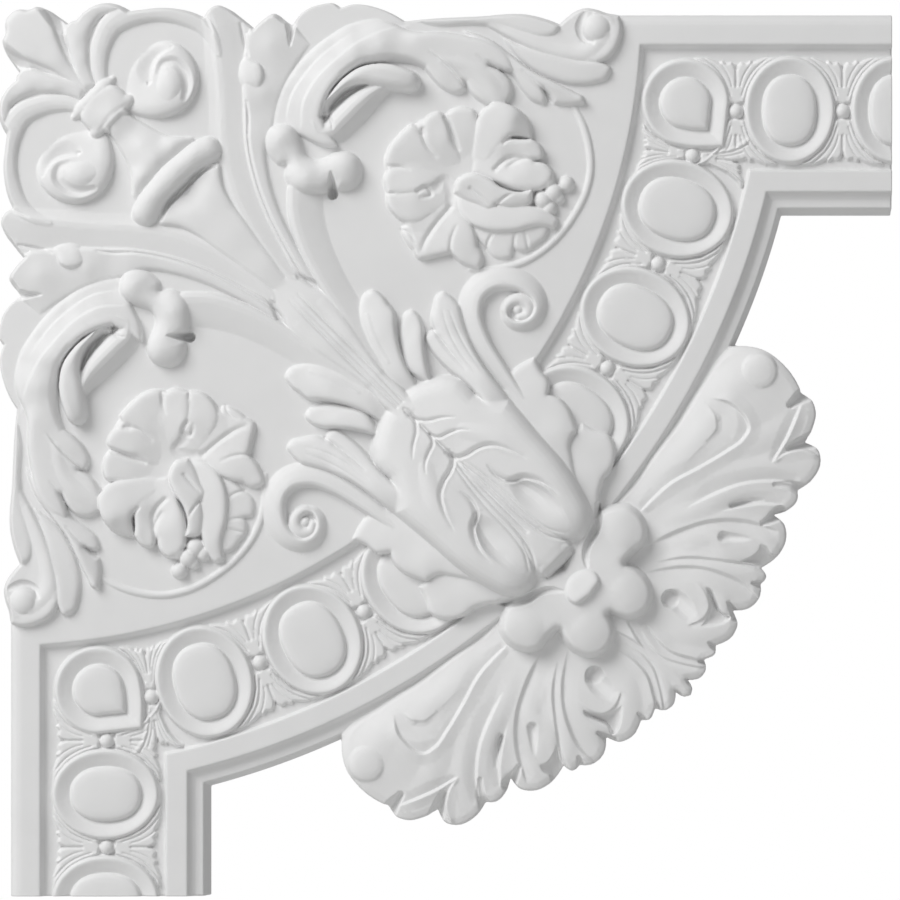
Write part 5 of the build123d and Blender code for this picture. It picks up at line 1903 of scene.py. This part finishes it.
@dataclass
class Shell(Ornament):
    """Fan of lobes beyond the hub, on its own thin edge."""

    inner: tuple = ((415, 192), (408, 196.5), (400, 206.5), (385, 231), (370, 251), (357, 268.5), (345, 283),
        (330, 300))
    skin: tuple = (
        (346, 283, 15.5), (360, 268, 14.2), (385, 234, 14.2), (400, 212, 14.2), (412, 199, 15.2),
        (375, 262, 18.2), (395, 235, 18.6), (412, 215, 19.2), (430, 207, 20.0), (446, 214, 19.2),
        (372, 285, 18.6), (400, 262, 20.4), (430, 240, 20.6), (452, 236, 19.6), (455, 260, 20.0),
        (375, 305, 18.6), (405, 295, 20.4), (435, 280, 20.0), (440, 305, 19.6),
        (375, 325, 18.6), (405, 320, 20.4), (428, 325, 18.8), (372, 345, 18.6), (395, 340, 20.0),
        (418, 342, 18.4), (410, 358, 18.6), (360, 360, 19.0), (385, 375, 18.6), (392, 392, 17.6),
    )
    over: tuple = ((-1, 0), (-0.5, 0.5), (-0.1, 1), (0.1, -1), (0.5, -0.45), (1, 0))
    creases: tuple = (
        (1.2, 7, (407, 223), (413, 224.5), (418, 228), (423, 233.5), (425, 239), (421, 246), (412, 252.5),
         (397, 261.5), (380, 271), (366, 284)), (1.5, 6, (455, 225), (451, 235), (446, 246), (440, 256)),
        (-1.3, 6, (441, 257), (449, 252.5), (456, 251.5), (463, 254)),
        (-1.2, 8, (394, 282.5), (405, 277), (420, 271.4), (436, 269.4), (450, 270.5)),
        (-0.9, 7, (413, 286), (424, 283.5), (434, 282.4), (442, 283)),
        (1.0, 11, (370, 305), (380, 300), (390, 296), (402, 292.6), (414, 291.6), (426, 293), (436, 296)),
        (0.9, 7, (376, 315), (390, 313), (404, 314), (418, 316), (430, 317.5)),
        (-0.8, 5, (414, 316.5), (424, 318), (434, 322)),
        (0.9, 9, (370, 321), (385, 318.6), (400, 319.4), (412, 323), (423, 329), (430, 336)),
        (-0.7, 6, (397, 329), (401, 335), (402.4, 342), (399, 348), (393, 351)),
        (1.3, 7, (368.5, 354), (373.5, 361), (380, 366.6), (390, 370), (399, 371.6), (406, 368.5)),
        (0.8, 6, (364, 356), (369, 364), (376, 370), (386, 373.6), (398, 376)),
        (-1.0, 6, (354, 347), (360, 358), (366, 367), (377, 381), (390, 397)),
    )
    notches: tuple = (
        ((449, 226, 2.4, 15), (455, 221.5, 4.2, 13), (461, 218, 5, 11)),
        ((448, 250.5, 2.2, 16), (455, 248.2, 3.8, 13.5), (462, 246, 5, 11)),
        ((440, 271.5, 1.6, 17.6), (450, 272.4, 3.0, 15.5), (458, 276, 4.6, 12)),
        ((433, 293.6, 1.8, 17), (438, 291, 3.2, 14.5), (443, 287.5, 4.2, 11.5)),
        ((427.5, 327.8, 1.2, 17), (431, 329, 2.0, 14.5), (435, 329, 3.0, 12)),
        ((413.5, 339, 1.2, 17), (416, 343, 2.2, 14.5), (418.5, 347, 3.4, 12)),
        ((402.5, 362, 1.0, 17.5), (406, 365, 1.8, 15), (409, 366, 2.6, 12)),
        ((397, 372.6, 1.0, 17), (400.5, 373, 1.8, 14.5), (404, 373, 3.0, 12)),
        ((389.5, 383, 0.8, 17), (391.5, 385, 1.4, 14), (394, 386, 2.4, 12)),
    )

    def ring(self, x: float, d: float, radius: float) -> np.ndarray:
        """A closed circle."""
        return curve([(x + radius * math.cos(a),
            d + radius * math.sin(a)) for a in np.linspace(0, 2 * math.pi, 25)])

    def ground(self, relief: Relief) -> None:
        """Lays the shell's own swelling surface.

        Args:
            relief: the sheet.
        """
        run = np.vstack([outline(self.inner)[::-1], outline(*LeafEdge().shell)])
        line = over_diagonal(run)
        relief.plateau(line, both_sides(self.skin), ((0, -2.2), (2, -0.9), (5, 0)))

    def hollows(self, relief: Relief) -> None:
        """Spoon-shaped hollows, slits and the pierced eye.

        Args:
            relief: the sheet.
        """
        bowl = ((-1, 0), (-0.8, 0.3), (-0.45, 0.85), (0, 1), (0.45, 0.85), (0.8, 0.3), (1, 0))
        leaning = ((-1, 0), (-0.6, 0.4), (-0.1, 0.7), (0.4, 1), (0.8, 0.75), (1, 0))
        relief.add(((403, 224, 3, -0.3), (411, 231, 6, -1.6), (412, 240, 6, -1.5), (403, 250, 4, -0.6),
            (392, 260, 3, -0.2)), leaning)
        relief.add(((403, 230.5, 2.5, 0.3), (407, 233.5, 2.5, 0.6)), Cut.SOFT)
        relief.add(((415.4, 283.4, 1.9, -4.2), (420, 282.2, 2.0, -4.0), (427, 280.8, 1.4, -1.6),
            (433, 280.4, 1, -0.4)), bowl)
        relief.add(((410.4, 301.4, 3.4, -3.4), (413, 301.6, 3.0, -3.0), (419, 302.0, 2.4, -1.6),
            (425, 302.6, 1.4, -0.3)), bowl)
        relief.add(((383, 336, 4.8, -3.6), (386, 339.4, 6.0, -3.4), (390, 344, 5.4, -2.0),
            (393, 348.4, 3, -0.3)), bowl)
        pit = ((0, 3.4), (0.5, 1.4), (1.2, 0.4), (2.2, 0))
        relief.plateau(self.ring(380.6, 337, 5.3), ((378, 334, 13.6), (383, 340, 14.6), (377, 339, 14.2),
            (384, 334, 13.8)), pit, Lay.SINK)
        relief.plateau(
            outline(
                ((399.4, 329.6), (403.2, 331.4), (406.4, 338), (409.4, 344.6), (414.4, 347.2), (411, 351),
                 (403, 353.4), (395.6, 353)),
                ((400.6, 348), (402.6, 342), (402, 335.6), (399.4, 329.6)),
            ),
            ((401, 331, 18), (402.4, 340, 16.8), (405, 337, 15.0), (408, 344, 13.4), (400.6, 349, 17.0),
             (404, 348, 16.0), (410, 347.6, 14.4), (409, 350.6, 16.6), (403, 352, 18.0), (397, 352.4, 18.8)),
            pit, Lay.SINK,
        )
        relief.add(((401.8, 332, 0.8, -0.6), (404.8, 337.4, 1.3, -2.2), (407.6, 343, 1.5, -2.8),
            (410.4, 346.4, 1, -1)), Cut.GROOVE)
        relief.plateau(
            outline(
                ((418, 315.6), (426, 312.8), (430, 309), (430.6, 304)),
                ((435.6, 307.6), (438, 311.4), (443, 313), (445, 318), (436, 319.6), (428, 317),
                 (418, 315.6)),
            ),
            ((430.6, 305, 19.6), (429, 311, 17.8), (433, 309, 17.2), (435.6, 313, 14.2), (431, 315, 14.6),
             (424, 315, 16.8), (419, 315.6, 18.6), (441, 316, 12.0), (434, 317.6, 13.4)),
            ((0, 2.4), (0.5, 1.2), (1.2, 0.3), (2.2, 0)), Lay.SINK,
        )

    def lines(self, relief: Relief) -> None:
        """Soft ribs and furrows that run with the lobes."""
        for half, amount, *points in (
            (6, 1.0, (380, 290), (400, 284), (420, 277), (440, 277)),
            (7, 1.0, (385, 306), (405, 301), (412, 309), (424, 309)),
            (5, 0.9, (424, 297), (434, 302), (440, 311)),
            (8, 0.9, (420, 250), (438, 243), (452, 234)),
            (8, 1.0, (410, 268), (435, 262), (455, 260)),
            (5, 0.9, (400, 316), (418, 321), (431, 325)),
            (8, 0.8, (395, 326), (412, 333), (424, 338)),
            (8, 1.0, (378, 352), (395, 357), (411, 356)),
            (4, 0.7, (376, 372), (390, 378), (397, 379)),
            (9, 0.8, (378, 268), (396, 246), (414, 232)),
            (12, 0.7, (395, 240), (415, 214), (434, 206), (448, 214)),
            (4, 0.6, (409, 334), (411, 339), (412, 344)),
        ):
            relief.add(fading(points, half, amount, 0.3, 0.3), Cut.SOFT)
        relief.add(((349, 349, 5.5, 0.6), (366, 366, 4.5, 0.9), (390, 390, 3.5, 0.8)), Cut.SOFT)

    def carve(self, relief: Relief) -> None:
        """Cuts the group into the sheet.

        Args:
            relief: the sheet.
        """
        self.ground(relief)
        self.lines(relief)
        for amount, half, *points in self.creases:
            last = len(points) - 1
            stations = [
                (x, d, half * (0.6 if i in (0, last) else 1), amount * (0.25 if i == 0 else 1))
                for i, (x, d) in enumerate(points)
            ]
            relief.add(stations, self.over)
        self.hollows(relief)
        relief.plateau(
            self.ring(431, 207, 11),
            ((431, 207, 22.6), (422, 199, 21.0), (439, 214, 22.4), (436, 200, 22.2), (424, 214, 22.0),
             (431, 216, 22.2), (440, 207, 22.2)),
            ((0, -4.0), (0.8, -2.0), (2.0, -0.9), (4.5, -0.2), (8, 0)),
        )
        wedge = ((-1, 0), (-0.6, 0.75), (0, 1), (0.6, 0.75), (1, 0))
        for points in self.notches:
            relief.add([(x, d, half, top - 19.5) for x, d, half, top in points], wedge)


@dataclass
class Hub(Ornament):
    """Cloud-shaped hub at the root of the shell, and the tab that rests on it."""

    def carve(self, relief: Relief) -> None:
        """Cuts the group into the sheet.

        Args:
            relief: the sheet.
        """
        half = outline(
            ((318, 318), (326, 300)),
            ((332, 291), (340, 285.5), (348, 282.6), (356, 282.4), (362, 286), (366.4, 292), (368, 299.5),
             (366, 306), (360, 311), (355.5, 316)),
            ((362, 319), (368, 325), (371, 333), (369, 342), (364, 347), (357, 349.4), (351, 348.4),
             (346, 346)),
        )
        side = ((333, 300, 27.6), (350, 290, 28.8), (352, 299, 29.2), (362, 297, 28.4), (345, 312, 28.8),
            (357, 333, 29.2), (366, 334, 28.4), (352, 343, 28.6), (340, 330, 28.8))
        relief.plateau(
            over_diagonal(half),
            ((320, 320, 27), (330, 330, 28.4), (345, 345, 28.6)) + both_sides(side),
            ((0, -12), (0.6, -9.6), (2.2, -4.2), (3.0, -1.9), (3.8, -0.9), (5.0, -0.3), (7.0, 0)),
        )
        dome = ((-1, 0), (-0.86, 0.12), (-0.6, 0.62), (-0.3, 0.92), (0, 1), (0.3, 0.92), (0.6, 0.62),
            (0.86, 0.12), (1, 0))
        for x, d in ((351.6, 298), (355, 333)):
            relief.add(((x - 1, d - 1, 9.5, 0.9), (x + 1, d + 1, 9.5, 0.9)), dome, both=True)
        relief.add(((338.6, 283, 1.6, -3), (338.8, 291, 2.4, -6.5), (337.0, 298, 2.6, -7),
            (333.6, 304, 2.2, -5), (331.6, 311, 1.8, -3), (332.4, 318, 1.2, -1)),
                      Cut.ROUND, both=True)
        relief.plateau(
            outline(((315, 335), (317, 341), (324, 342), (331, 338), (336, 332), (339.4, 325.5), (337, 321.5),
                (330, 320), (322, 324), (315, 335))), ((317, 336, 30.2), (322, 340, 31.2), (330, 335, 33.0),
                    (336.4, 327, 32.8), (332, 321.6, 30.6), (321, 326.4, 29.4), (328, 329, 31.6)),
            ((0, -3.4), (0.5, -1.6), (1.2, -0.7), (2.2, -0.2), (3.5, 0)),
        )


def carve(relief: Relief) -> None:
    """Carves the whole moulding into a sheet.

    Args:
        relief: the sheet.
    """
    for group in (Track(), Eggs(), Shell(), CornerLeaf(), ScrollLeaf(), Rosette(), FoldedLeaf(), Hub()):
        group.carve(relief)
    LeafEdge().trim(relief)
    Track().cut_ends(relief)


def main() -> None:
    """Builds the object's pieces in order, then the studio round them."""
    logging.basicConfig(level=logging.INFO, format="%(name)s %(message)s")
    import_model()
    relief = Relief()
    carve(relief)
    relief.mirror()
    relief.soften(TOOL_RADIUS)
    relief.z = np.maximum(relief.z, BELOW)
    Casting().build(relief)
    Studio().build()
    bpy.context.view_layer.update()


if __name__ == "__main__":
    main()
